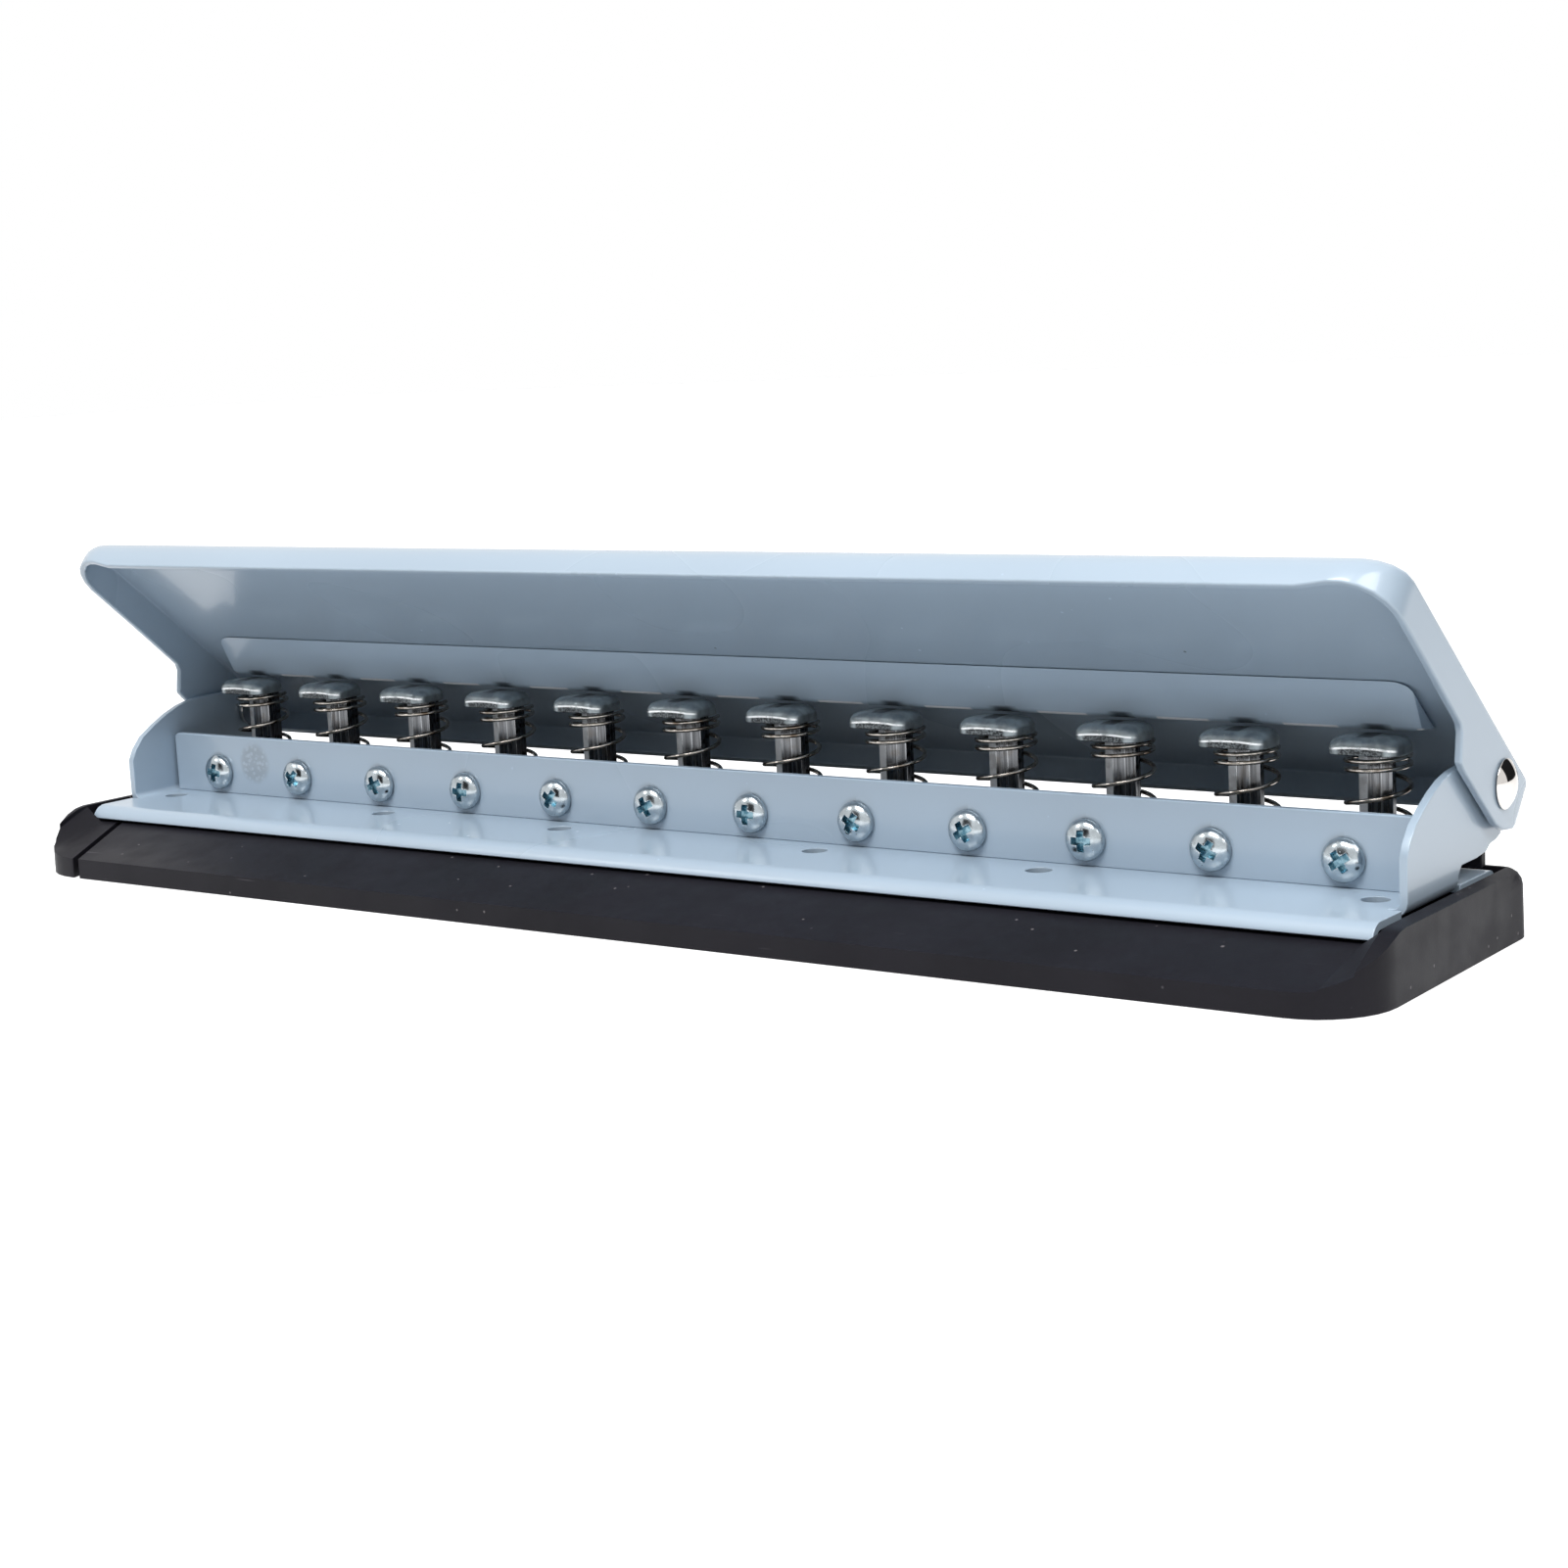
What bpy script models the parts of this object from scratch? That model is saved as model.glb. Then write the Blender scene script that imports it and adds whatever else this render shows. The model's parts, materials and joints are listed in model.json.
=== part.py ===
"""A twelve hole mushroom punch for disc bound sheets, modelled in metres with +Z up.

The paper goes in from the front, which faces -Y, over the plastic base and the steel lip and into the
slot under the front plate. Pressing the handle turns it about two rivets at the rear, and its press bar
drives twelve sprung punches through the sheet. The chips fall into a tray that slides out at the left.
Places along Y are measured from the front edge of the base, and the helper at() turns them into world Y.
"""

import math

import bmesh
import bpy
from mathutils import Vector

# General sizes
PUNCH_COUNT = 12
PUNCH_PITCH = 0.0254
SHEET = 0.0015
CLEARANCE = 0.0003
CUT_OVERRUN = 0.003
WELD_DISTANCE = 0.000001

# Base
BASE_RIGHT_FROM_EAR = 0.0053
BASE_LEFT_FROM_EAR = 0.0021
BASE_DEPTH = 0.0722
BASE_FRONT_HEIGHT = 0.0045
APRON_DEPTH = 0.0182
APRON_TOP = 0.0087
RIM_TOP = 0.0123
RIM_CLIMB = 0.0155
RIM_WIDTH = 0.0034
LEFT_RIM_WIDTH = 0.0016
APRON_END_SLOPE = 0.005
REAR_RIM_WIDTH = 0.0024
BASE_DRAFT = 0.0002
BASE_FRONT_RADIUS = 0.0136
CAP_FRONT_RADIUS = 0.0156
BASE_REAR_RADIUS = 0.005
BASE_REAR_ROUND = 0.0028
BASE_ROUND_STEPS = 4
BASE_FLOOR = 0.002
CHIP_SPACE_FRONT = 0.024
CHIP_SPACE_FROM_REAR = 0.0052
CHIP_SPACE_END = 0.0065

# Chip tray and its end cap
CAP_FRONT_LENGTH = 0.0163
CAP_LIP_LENGTH = 0.0101
CAP_GAP = 0.0018
TRAY_WALL = 0.0012
TRAY_UNDER_DIE = 0.0007
TRAY_END_GAP = 0.0015
CAP_WALL = 0.004

# Chassis sheet with its lip and ears
FLOOR_BELOW_RIM = 0.0002
LIP_FRONT = 0.0178
LIP_RADIUS = 0.0034
LIP_ROLL_ANGLE = 78
FLOOR_FROM_REAR = 0.004
REAR_BEND_RADIUS = 0.0024
LIP_END_FROM_EAR = 0.0008
EAR_FROM_PLATE = 0.0022
EAR_BEND_RADIUS = 0.0026
EAR_FROM_LIP = 0.0124
EAR_FOOT_TO_PIVOT = 0.0155
EAR_RELIEF = 0.0006
EAR_OVER_PIVOT = 0.0052
FLOOR_HOLE_DIAMETER = 0.005
FLOOR_HOLE_PLACES = (0.0323, 0.0824, 0.1482)
FLOOR_HOLE_TO_PLATE = 0.0065

# Pivot
PIVOT_FROM_REAR = 0.0049
PIVOT_OVER_FLOOR = 0.0153
RIVET_SHANK = 0.005
RIVET_HEAD = 0.0092
RIVET_DOME = 0.0017
RIVET_CLENCH = 0.0075
RIVET_CLENCH_HEIGHT = 0.0012

# Handle, in its own frame: forward from the pivot along the panel, and up from the panel's pivot line
HANDLE_REST_ANGLE = math.radians(40)
HANDLE_SHEET = 0.0014
HANDLE_WALL_TO_EAR = 0.0008
PANEL_RISE = 0.007
HANDLE_REACH = 0.0639
HANDLE_REAR = 0.0109
HANDLE_RIM = 0.0017
LOBE_RIM = 0.0076
REAR_RIM_RISE = 0.0004
LOBE_FRONT = 0.0232
LOBE_STEP = 0.0042
LOBE_BACK = 0.0012
HANDLE_CORNER_RADIUS = 0.0104
HANDLE_REAR_CORNER_RADIUS = 0.0024
HANDLE_SIDE_BEND = 0.0018
HANDLE_FRONT_BEND = 0.0068
HANDLE_BEND_STEPS = 6
HANDLE_CORNER_LIFT = 0.0011

# Press bar under the panel, in the handle's frame
PRESS_BAR_END_GAP = 0.0108
PRESS_BAR_FRONT = 0.024
PRESS_BAR_CREST = 0.0148
PRESS_BAR_BACK = 0.0082
PRESS_BAR_HEIGHT = 0.0039
PRESS_BAR_CREST_RADIUS = 0.0024

# Front plate and its screws
PLATE_TO_PUNCH = 0.0145
PLATE_END_FROM_GUIDE = 0.0039
PLATE_OVER_FLOOR = 0.0009
PLATE_HEIGHT = 0.0124
PLATE_CORNER_RADIUS = 0.0012
SCREW_OVER_EDGE = 0.0041
SCREW_DIAMETER = 0.004
SCREW_LENGTH = 0.008
SCREW_HEAD_DIAMETER = 0.008
SCREW_HEAD_HEIGHT = 0.0024
RECESS_WIDTH = 0.0012
RECESS_TIP_WIDTH = 0.0009
RECESS_LENGTH = 0.0046
RECESS_DEPTH = 0.0015
RECESS_FLOOR_SHARE = 0.6
RECESS_FIRST_ANGLE = math.radians(8)
RECESS_ANGLE_STEP = math.radians(29)

# Guide bar and die plate
GUIDE_FRONT_GAP = 0.0003
GUIDE_BEHIND_PUNCH = 0.0061
GUIDE_HEIGHT = 0.0067
GUIDE_END = 0.0108
PAPER_STOP_BEHIND_PUNCH = 0.0036
GUIDE_FOOT_LENGTH = 0.0015
DIE_BEFORE_PUNCH = 0.0065
DIE_BEHIND_PUNCH = 0.0067
DIE_THICKNESS = 0.0015
REAR_STRIP_FROM_EDGE = 0.0027
REAR_STRIP_THICKNESS = 0.002
REAR_STRIP_HEIGHT = 0.003
REAR_STRIP_END_FROM_EAR = 0.0014

# Punches, heads and springs
PUNCH_TO_PIVOT = 0.01
PUNCH_OVER_EDGE = 0.0006
CROWN_WIDTH = 0.0064
CROWN_DEPTH = 0.0021
CROWN_FRONT = 0.0018
CROWN_FACET_WIDTH = 0.0019
CROWN_FACET_DEPTH = 0.0006
STEM_WIDTH = 0.0024
STEM_REAR = 0.0044
PUNCH_RUNNING_GAP = 0.00025
HEAD_FORWARD = 0.003
SPRING_SPACE = 0.0143
HEAD_WIDTH = 0.0134
HEAD_DEPTH = 0.0092
HEAD_CORNER_RADIUS = 0.003
HEAD_EDGE_HEIGHT = 0.0014
HEAD_DOME_HEIGHT = 0.0018
SPRING_DIAMETER = 0.0122
SPRING_WIRE = 0.00075
SPRING_TOP_PITCH = 0.0016
SPRING_TOP_TURNS = 1.5
SPRING_OPEN_TURNS = 1.5
SPRING_BOTTOM_PITCH = 0.00125
SPRING_BOTTOM_TURNS = 1
SPRING_POINTS_PER_TURN = 10
SPRING_START_ANGLE = math.radians(27)

# Colours as red, green and blue from 0 to 1, then roughness and metallic
FINISHES = {
    "blue_grey_paint": ((0.42, 0.50, 0.58), 0.3, 0.0),
    "black_plastic": ((0.028, 0.027, 0.032), 0.55, 0.0),
    "zinc_plate": ((0.62, 0.68, 0.72), 0.25, 1.0),
    "chrome": ((0.8, 0.8, 0.8), 0.08, 1.0),
    "dull_steel": ((0.2, 0.23, 0.25), 0.45, 1.0),
    "punch_steel": ((0.34, 0.35, 0.37), 0.25, 1.0),
    "spring_wire": ((0.55, 0.52, 0.48), 0.2, 1.0),
}

# Along X: the row of punches sets the guide bar, the plate, the ears, the handle and the base
PUNCH_PLACES = [(i - (PUNCH_COUNT - 1) / 2) * PUNCH_PITCH for i in range(PUNCH_COUNT)]
GUIDE_HALF_LENGTH = PUNCH_PLACES[-1] + GUIDE_END
PAPER_HALF_WIDTH = GUIDE_HALF_LENGTH - GUIDE_FOOT_LENGTH
PLATE_HALF_LENGTH = GUIDE_HALF_LENGTH + PLATE_END_FROM_GUIDE
EAR_OUTSIDE = PLATE_HALF_LENGTH + EAR_FROM_PLATE
LIP_HALF_LENGTH = EAR_OUTSIDE - LIP_END_FROM_EAR
REAR_STRIP_HALF_LENGTH = EAR_OUTSIDE - REAR_STRIP_END_FROM_EAR
HANDLE_HALF_WIDTH = EAR_OUTSIDE + HANDLE_WALL_TO_EAR + HANDLE_SHEET
PRESS_BAR_HALF_LENGTH = HANDLE_HALF_WIDTH - PRESS_BAR_END_GAP
BASE_RIGHT = EAR_OUTSIDE + BASE_RIGHT_FROM_EAR
BASE_LEFT = -EAR_OUTSIDE - BASE_LEFT_FROM_EAR
BASE_MIDDLE = (BASE_LEFT + BASE_RIGHT) / 2
BASE_LENGTH = BASE_RIGHT - BASE_LEFT

# From the front of the base: its rear carries the pivot, and the pivot sets the punches and the front plate
CHIP_SPACE_REAR = BASE_DEPTH - CHIP_SPACE_FROM_REAR
FLOOR_REAR = BASE_DEPTH - FLOOR_FROM_REAR
REAR_STRIP_FRONT = FLOOR_REAR - REAR_STRIP_FROM_EDGE
PIVOT_FROM_FRONT = BASE_DEPTH - PIVOT_FROM_REAR
EAR_FRONT = LIP_FRONT + EAR_FROM_LIP
EAR_FOOT_REAR = PIVOT_FROM_FRONT - EAR_FOOT_TO_PIVOT
PUNCH_FROM_FRONT = PIVOT_FROM_FRONT - PUNCH_TO_PIVOT
PAPER_STOP = PUNCH_FROM_FRONT + PAPER_STOP_BEHIND_PUNCH
GUIDE_REAR = PUNCH_FROM_FRONT + GUIDE_BEHIND_PUNCH
DIE_FRONT = PUNCH_FROM_FRONT - DIE_BEFORE_PUNCH
DIE_REAR = PUNCH_FROM_FRONT + DIE_BEHIND_PUNCH
PLATE_FRONT = PUNCH_FROM_FRONT - PLATE_TO_PUNCH
GUIDE_FRONT = PLATE_FRONT + SHEET + GUIDE_FRONT_GAP
FLOOR_HOLE_FROM_FRONT = PLATE_FRONT - FLOOR_HOLE_TO_PLATE

# Up from the table
FLOOR_TOP = RIM_TOP - FLOOR_BELOW_RIM
FLOOR_UNDER = FLOOR_TOP - SHEET
SEAT_TOP = FLOOR_UNDER - CLEARANCE
TRAY_TOP = SEAT_TOP - DIE_THICKNESS - TRAY_UNDER_DIE
PIVOT_HEIGHT = FLOOR_TOP + PIVOT_OVER_FLOOR
EAR_TOP = PIVOT_HEIGHT + EAR_OVER_PIVOT
PLATE_BOTTOM = FLOOR_TOP + PLATE_OVER_FLOOR
PLATE_TOP = PLATE_BOTTOM + PLATE_HEIGHT
SCREW_HEIGHT = PLATE_BOTTOM + SCREW_OVER_EDGE
PUNCH_BOTTOM = PLATE_BOTTOM + PUNCH_OVER_EDGE
GUIDE_TOP = PLATE_BOTTOM + GUIDE_HEIGHT
HEAD_BOTTOM = GUIDE_TOP + SPRING_SPACE

# The rear of the handle at rest is the rearmost point, and the whole is centred between it and the front
REAR_CORNER_BACK = (HANDLE_REAR - HANDLE_SIDE_BEND) * math.cos(HANDLE_REST_ANGLE)
REAR_CORNER_OUT = (PANEL_RISE - HANDLE_SIDE_BEND) * math.sin(HANDLE_REST_ANGLE)
OVERALL_DEPTH = PIVOT_FROM_FRONT + REAR_CORNER_BACK + REAR_CORNER_OUT + HANDLE_SIDE_BEND

# Turns of the local frame of an outline: its plane stands across the object, or faces the front
ACROSS = (math.radians(90), 0, math.radians(90))
FACING_FRONT = (math.radians(90), 0, 0)
FLAT = (0, 0, 0)


def at(from_front):
    """World Y of a place measured from the front edge of the base."""
    return from_front - OVERALL_DEPTH / 2


def clear_scene():
    for item in list(bpy.data.objects):
        bpy.data.objects.remove(item)


def new_collection(name, cutters=False):
    collection = bpy.data.collections.new(name)
    bpy.context.scene.collection.children.link(collection)
    collection.hide_render = cutters
    return collection


def make_materials():
    materials = {}
    for name, (colour, roughness, metallic) in FINISHES.items():
        material = bpy.data.materials.new(name)
        material.use_nodes = True
        shader = material.node_tree.nodes["Principled BSDF"]
        shader.inputs["Base Color"].default_value = (*colour, 1)
        shader.inputs["Roughness"].default_value = roughness
        shader.inputs["Metallic"].default_value = metallic
        materials[name] = material
    return materials


class Workshop:
    """The collections and finishes that every piece is made with."""

    def __init__(self):
        self.parts = new_collection("mushroom_hole_punch")
        self.cutters = new_collection("cutters", cutters=True)
        self.materials = make_materials()

    def part(self, name, data, finish, location=(0, 0, 0), rotation=FLAT, parent=None):
        """A piece of the object, with its finish."""
        item = bpy.data.objects.new(name, data)
        item.location = location
        item.rotation_euler = rotation
        item.parent = parent
        if not data.materials:
            data.materials.append(self.materials[finish])
        self.parts.objects.link(item)
        return item

    def cutter(self, name, data, location=(0, 0, 0), rotation=FLAT):
        """A helper solid that a Boolean reads and no render shows."""
        item = bpy.data.objects.new(name, data)
        item.location = location
        item.rotation_euler = rotation
        item.hide_render = True
        item.display_type = "WIRE"
        self.cutters.objects.link(item)
        return item


def join(target, other, operation):
    """A Boolean of one piece with a cutter or with another form."""
    modifier = target.modifiers.new(f"{operation.lower()} {other.name}", "BOOLEAN")
    modifier.operation = operation
    modifier.object = other


def outline_mesh(name, outlines, thickness):
    """A flat outline, with any holes, filled on both sides and extruded half its thickness each way."""
    curve = bpy.data.curves.new(name, "CURVE")
    curve.dimensions = "2D"
    curve.fill_mode = "BOTH"
    curve.extrude = thickness / 2
    for outline in outlines:
        spline = curve.splines.new("POLY")
        spline.points.add(len(outline) - 1)
        spline.use_cyclic_u = True
        for point, (a, b) in zip(spline.points, outline):
            point.co = (a, b, 0, 1)
    guide = bpy.data.objects.new(name, curve)
    bpy.context.scene.collection.objects.link(guide)
    graph = bpy.context.evaluated_depsgraph_get()
    mesh = bpy.data.meshes.new_from_object(guide.evaluated_get(graph))
    bpy.data.objects.remove(guide)
    weld(mesh)
    return mesh


def weld(mesh):
    shape = bmesh.new()
    shape.from_mesh(mesh)
    bmesh.ops.remove_doubles(shape, verts=shape.verts, dist=WELD_DISTANCE)
    bmesh.ops.recalc_face_normals(shape, faces=shape.faces)
    shape.to_mesh(mesh)
    shape.free()


def mesh_of(shape, name):
    bmesh.ops.recalc_face_normals(shape, faces=shape.faces)
    mesh = bpy.data.meshes.new(name)
    shape.to_mesh(mesh)
    shape.free()
    return mesh


def loft(shape, rings):
    """A closed skin through rings of vertices, with a flat face over the first and the last."""
    for low, high in zip(rings, rings[1:]):
        for i, vert in enumerate(low):
            shape.faces.new((low[i - 1], vert, high[i], high[i - 1]))
    shape.faces.new(rings[0])
    shape.faces.new(rings[-1])


def box_mesh(name, low, high):
    """A box between two corners, in world places."""
    shape = bmesh.new()
    bmesh.ops.create_cube(shape, size=1)
    low = Vector(low)
    high = Vector(high)
    bmesh.ops.scale(shape, vec=high - low, verts=shape.verts)
    bmesh.ops.translate(shape, vec=(low + high) / 2, verts=shape.verts)
    return mesh_of(shape, name)


def arc(centre, radius, start, end, segments):
    """Points along an arc, with the angles in degrees."""
    points = []
    for i in range(segments + 1):
        angle = math.radians(start + (end - start) * i / segments)
        points.append((centre[0] + radius * math.cos(angle), centre[1] + radius * math.sin(angle)))
    return points


def circle(centre, diameter, segments):
    return arc(centre, diameter / 2, 0, 360, segments)[:-1]


def sheet_mesh(name, profile, length):
    """An open sheet: a profile of (Y, Z) points drawn out along X, centred on X zero."""
    shape = bmesh.new()
    row = [shape.verts.new((-length / 2, y, z)) for y, z in profile]
    edges = [shape.edges.new(pair) for pair in zip(row, row[1:])]
    drawn = bmesh.ops.extrude_edge_only(shape, edges=edges)["geom"]
    far = [v for v in drawn if isinstance(v, bmesh.types.BMVert)]
    bmesh.ops.translate(shape, vec=(length, 0, 0), verts=far)
    return mesh_of(shape, name)


def thicken(item, thickness, offset=0):
    """Wall thickness round an open sheet; an offset of -1 puts it all inside the skin."""
    modifier = item.modifiers.new("sheet", "SOLIDIFY")
    modifier.thickness = thickness
    modifier.offset = offset
    modifier.use_even_offset = True


def solid_across(name, profile, length):
    """A closed (Y, Z) profile drawn out along X."""
    return outline_mesh(name, [profile], length)


def mushroom_outline(x, y, gap=0.0):
    """The outline of a punch seen from above, its crown to the front, grown by a gap."""
    half_crown = CROWN_WIDTH / 2 + gap
    half_stem = STEM_WIDTH / 2 + gap
    front = y - CROWN_FRONT - gap
    shoulder = y - CROWN_FRONT + CROWN_DEPTH + gap
    rear = y + STEM_REAR + gap
    right = [
        (half_crown - CROWN_FACET_WIDTH, front),
        (half_crown, front + CROWN_FACET_DEPTH),
        (half_crown, shoulder),
        (half_stem, shoulder),
        (half_stem, rear),
    ]
    left = [(-a, b) for a, b in reversed(right)]
    return [(x + a, b) for a, b in right + left]


def punch_hole_cutter(shop, name, low, high):
    """Twelve mushroom shaped prisms between two heights."""
    outlines = [mushroom_outline(x, at(PUNCH_FROM_FRONT), PUNCH_RUNNING_GAP) for x in PUNCH_PLACES]
    mesh = outline_mesh(name, outlines, high - low)
    return shop.cutter(name, mesh, location=(0, 0, (low + high) / 2))


def round_holes(shop, name, centres, diameter, depth, location, rotation):
    mesh = outline_mesh(name, [circle(c, diameter, 16) for c in centres], depth)
    return shop.cutter(name, mesh, location=location, rotation=rotation)


def apron_height(from_front):
    """Height of the sloping front of the base."""
    return BASE_FRONT_HEIGHT + (APRON_TOP - BASE_FRONT_HEIGHT) * from_front / APRON_DEPTH


def rim_climb():
    """Top line of the end walls, from the level rim forwards and down to the front edge."""
    rise = RIM_TOP - BASE_FRONT_HEIGHT
    climb_shares = [(1.13, 1.0), (0.97, 0.95), (0.81, 0.835), (0.6, 0.64), (0.4, 0.45), (0.0, 0.0)]
    return [(at(RIM_CLIMB * a), BASE_FRONT_HEIGHT + rise * b) for a, b in climb_shares]


def base_profile():
    """Side view of the base's ends: low front edge and climb to the rim, left long at the rear."""
    rear = at(BASE_DEPTH + CUT_OVERRUN)
    return [
        (at(0), 0),
        (rear, 0),
        (rear, RIM_TOP),
        *rim_climb(),
    ]


def base_plan(inset, rear_inset):
    """Outline of the base seen from above, with large front corners, drawn in by the insets."""
    rear = BASE_REAR_RADIUS
    half = BASE_LENGTH / 2
    sides = []
    for front in (BASE_FRONT_RADIUS, CAP_FRONT_RADIUS):
        sides.append([
            *arc((half - front, at(front)), front - inset, -90, 0, 8),
            (half - inset, at(BASE_DEPTH - rear * 2)),
            *arc((half - rear, at(BASE_DEPTH - rear)), rear - rear_inset, 0, 90, 5),
        ])
    right, left = sides
    return [(BASE_MIDDLE + x, y) for x, y in right] + [(BASE_MIDDLE - x, y) for x, y in reversed(left)]


def base_plan_mesh():
    """The form inside the base's walls: a little draft, and a rear that rounds off at the top."""
    shape = bmesh.new()
    rings = []
    under = RIM_TOP - BASE_REAR_ROUND
    curve = arc((-BASE_REAR_ROUND, under), BASE_REAR_ROUND, 0, 90, BASE_ROUND_STEPS)
    levels = [(0, -CUT_OVERRUN), *curve, (-BASE_REAR_ROUND, RIM_TOP + CUT_OVERRUN)]
    for back, z in levels:
        draft = BASE_DRAFT * z / RIM_TOP
        outline = base_plan(draft, draft - back)
        rings.append([shape.verts.new((x, y, z)) for x, y in outline])
    loft(shape, rings)
    return mesh_of(shape, "base_plan_form")


def apron_mesh():
    """The space over the sloping apron, whose ends slope up to the end walls."""
    shape = bmesh.new()
    back = APRON_DEPTH
    high = RIM_TOP + CUT_OVERRUN
    rings = []
    slope = APRON_END_SLOPE
    places = [(BASE_LEFT + LEFT_RIM_WIDTH, 1), (BASE_LEFT + LEFT_RIM_WIDTH + slope, 0),
              (BASE_RIGHT - RIM_WIDTH - slope, 0), (BASE_RIGHT - RIM_WIDTH, 1)]
    for x, lift in places:
        front_height = BASE_FRONT_HEIGHT - (CLEARANCE if lift == 0 else 0)
        ends = [(-CLEARANCE, front_height), (back, APRON_TOP + (RIM_TOP - APRON_TOP) * lift)]
        outline = [*ends, (back, high), (-CLEARANCE, high)]
        rings.append([shape.verts.new((x, at(y), z)) for y, z in outline])
    loft(shape, rings)
    return mesh_of(shape, "apron_form")


def chassis_seat_profile():
    """Side view of the space over the base that holds the lip and the floor of the chassis."""
    top = RIM_TOP + CUT_OVERRUN
    start = LIP_FRONT - CLEARANCE
    return [
        (at(start), apron_height(start) + CLEARANCE / 2),
        (at(APRON_DEPTH), APRON_TOP),
        (at(CHIP_SPACE_FRONT - SHEET), APRON_TOP),
        (at(CHIP_SPACE_FRONT - SHEET), SEAT_TOP),
        (at(FLOOR_REAR - REAR_BEND_RADIUS), SEAT_TOP),
        (at(FLOOR_REAR - REAR_BEND_RADIUS), FLOOR_TOP - REAR_BEND_RADIUS - CLEARANCE),
        (at(FLOOR_REAR + CLEARANCE), FLOOR_TOP - REAR_BEND_RADIUS - CLEARANCE),
        (at(FLOOR_REAR + CLEARANCE), top),
        (at(start), top),
    ]


def end_cap_plan(grow):
    """Plan of the left end of the base that belongs to the end cap, grown to the right."""
    far = BASE_LEFT - CUT_OVERRUN
    front = BASE_LEFT + CAP_FRONT_LENGTH + grow
    lip = BASE_LEFT + CAP_LIP_LENGTH + grow
    slant = (front - lip) / APRON_DEPTH
    return [
        (far, at(-CUT_OVERRUN)),
        (front + slant * CUT_OVERRUN, at(-CUT_OVERRUN)),
        (lip, at(APRON_DEPTH)),
        (lip, at(BASE_DEPTH + CUT_OVERRUN)),
        (far, at(BASE_DEPTH + CUT_OVERRUN)),
    ]


def base_envelope(shop, name):
    """The outer form that the base and its end cap share, with the seat for the chassis cut out."""
    item = shop.part(name, solid_across(name, base_profile(), BASE_LENGTH + CUT_OVERRUN),
                     "black_plastic", location=(BASE_MIDDLE, 0, 0), rotation=ACROSS)
    join(item, bpy.data.objects["base_plan_form"], "INTERSECT")
    join(item, bpy.data.objects["apron_form"], "DIFFERENCE")
    join(item, bpy.data.objects["chassis_seat_form"], "DIFFERENCE")
    return item


def make_base_forms(shop):
    height = RIM_TOP + CUT_OVERRUN * 2
    shop.cutter("base_plan_form", base_plan_mesh())
    shop.cutter("apron_form", apron_mesh())
    seat_left = BASE_LEFT + LEFT_RIM_WIDTH
    seat_right = BASE_RIGHT - RIM_WIDTH
    seat = solid_across("chassis_seat_form", chassis_seat_profile(), seat_right - seat_left)
    shop.cutter("chassis_seat_form", seat, location=((seat_left + seat_right) / 2, 0, 0), rotation=ACROSS)
    for name, grow in (("cap_form", 0.0), ("cap_space_form", CAP_GAP)):
        mesh = outline_mesh(name, [end_cap_plan(grow)], height)
        shop.cutter(name, mesh, location=(0, 0, RIM_TOP / 2))


def make_base(shop):
    """The black base: sloping apron, rims, and the chip space that is open at the left."""
    base = base_envelope(shop, "base")
    join(base, bpy.data.objects["cap_space_form"], "DIFFERENCE")
    low = (BASE_LEFT - CUT_OVERRUN, at(CHIP_SPACE_FRONT), BASE_FLOOR)
    high = (BASE_RIGHT - CHIP_SPACE_END, at(CHIP_SPACE_REAR), RIM_TOP + CUT_OVERRUN)
    join(base, shop.cutter("chip_space_form", box_mesh("chip_space_form", low, high)), "DIFFERENCE")


def make_chip_tray(shop):
    """The end cap with the long chip tray behind it, drawn out to the left as one piece."""
    tray = base_envelope(shop, "chip_tray")
    join(tray, bpy.data.objects["cap_form"], "INTERSECT")
    cap_inside = BASE_LEFT + CAP_LIP_LENGTH
    low = (cap_inside - CUT_OVERRUN, at(CHIP_SPACE_FRONT + CLEARANCE), BASE_FLOOR + CLEARANCE)
    high = (BASE_RIGHT - CHIP_SPACE_END - TRAY_END_GAP, at(CHIP_SPACE_REAR - CLEARANCE), TRAY_TOP)
    join(tray, shop.cutter("tray_form", box_mesh("tray_form", low, high)), "UNION")
    low = (BASE_LEFT + CAP_WALL, low[1] + TRAY_WALL, low[2] + TRAY_WALL)
    high = (high[0] - TRAY_WALL, high[1] - TRAY_WALL, RIM_TOP + CUT_OVERRUN)
    join(tray, shop.cutter("trough_form", box_mesh("trough_form", low, high)), "DIFFERENCE")


def floor_profile():
    """Middle line of the chassis sheet from the foot of the lip back to the foot of the rear flange."""
    middle = FLOOR_TOP - SHEET / 2
    front = at(LIP_FRONT + SHEET / 2)
    rear = at(FLOOR_REAR - SHEET / 2)
    bend = LIP_RADIUS - SHEET / 2
    rear_bend = REAR_BEND_RADIUS - SHEET / 2
    return [
        *arc((front + bend, middle - bend), bend, 90 + LIP_ROLL_ANGLE, 90, 7),
        *arc((rear - rear_bend, middle - rear_bend), rear_bend, 90, 0, 3),
    ]


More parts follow.
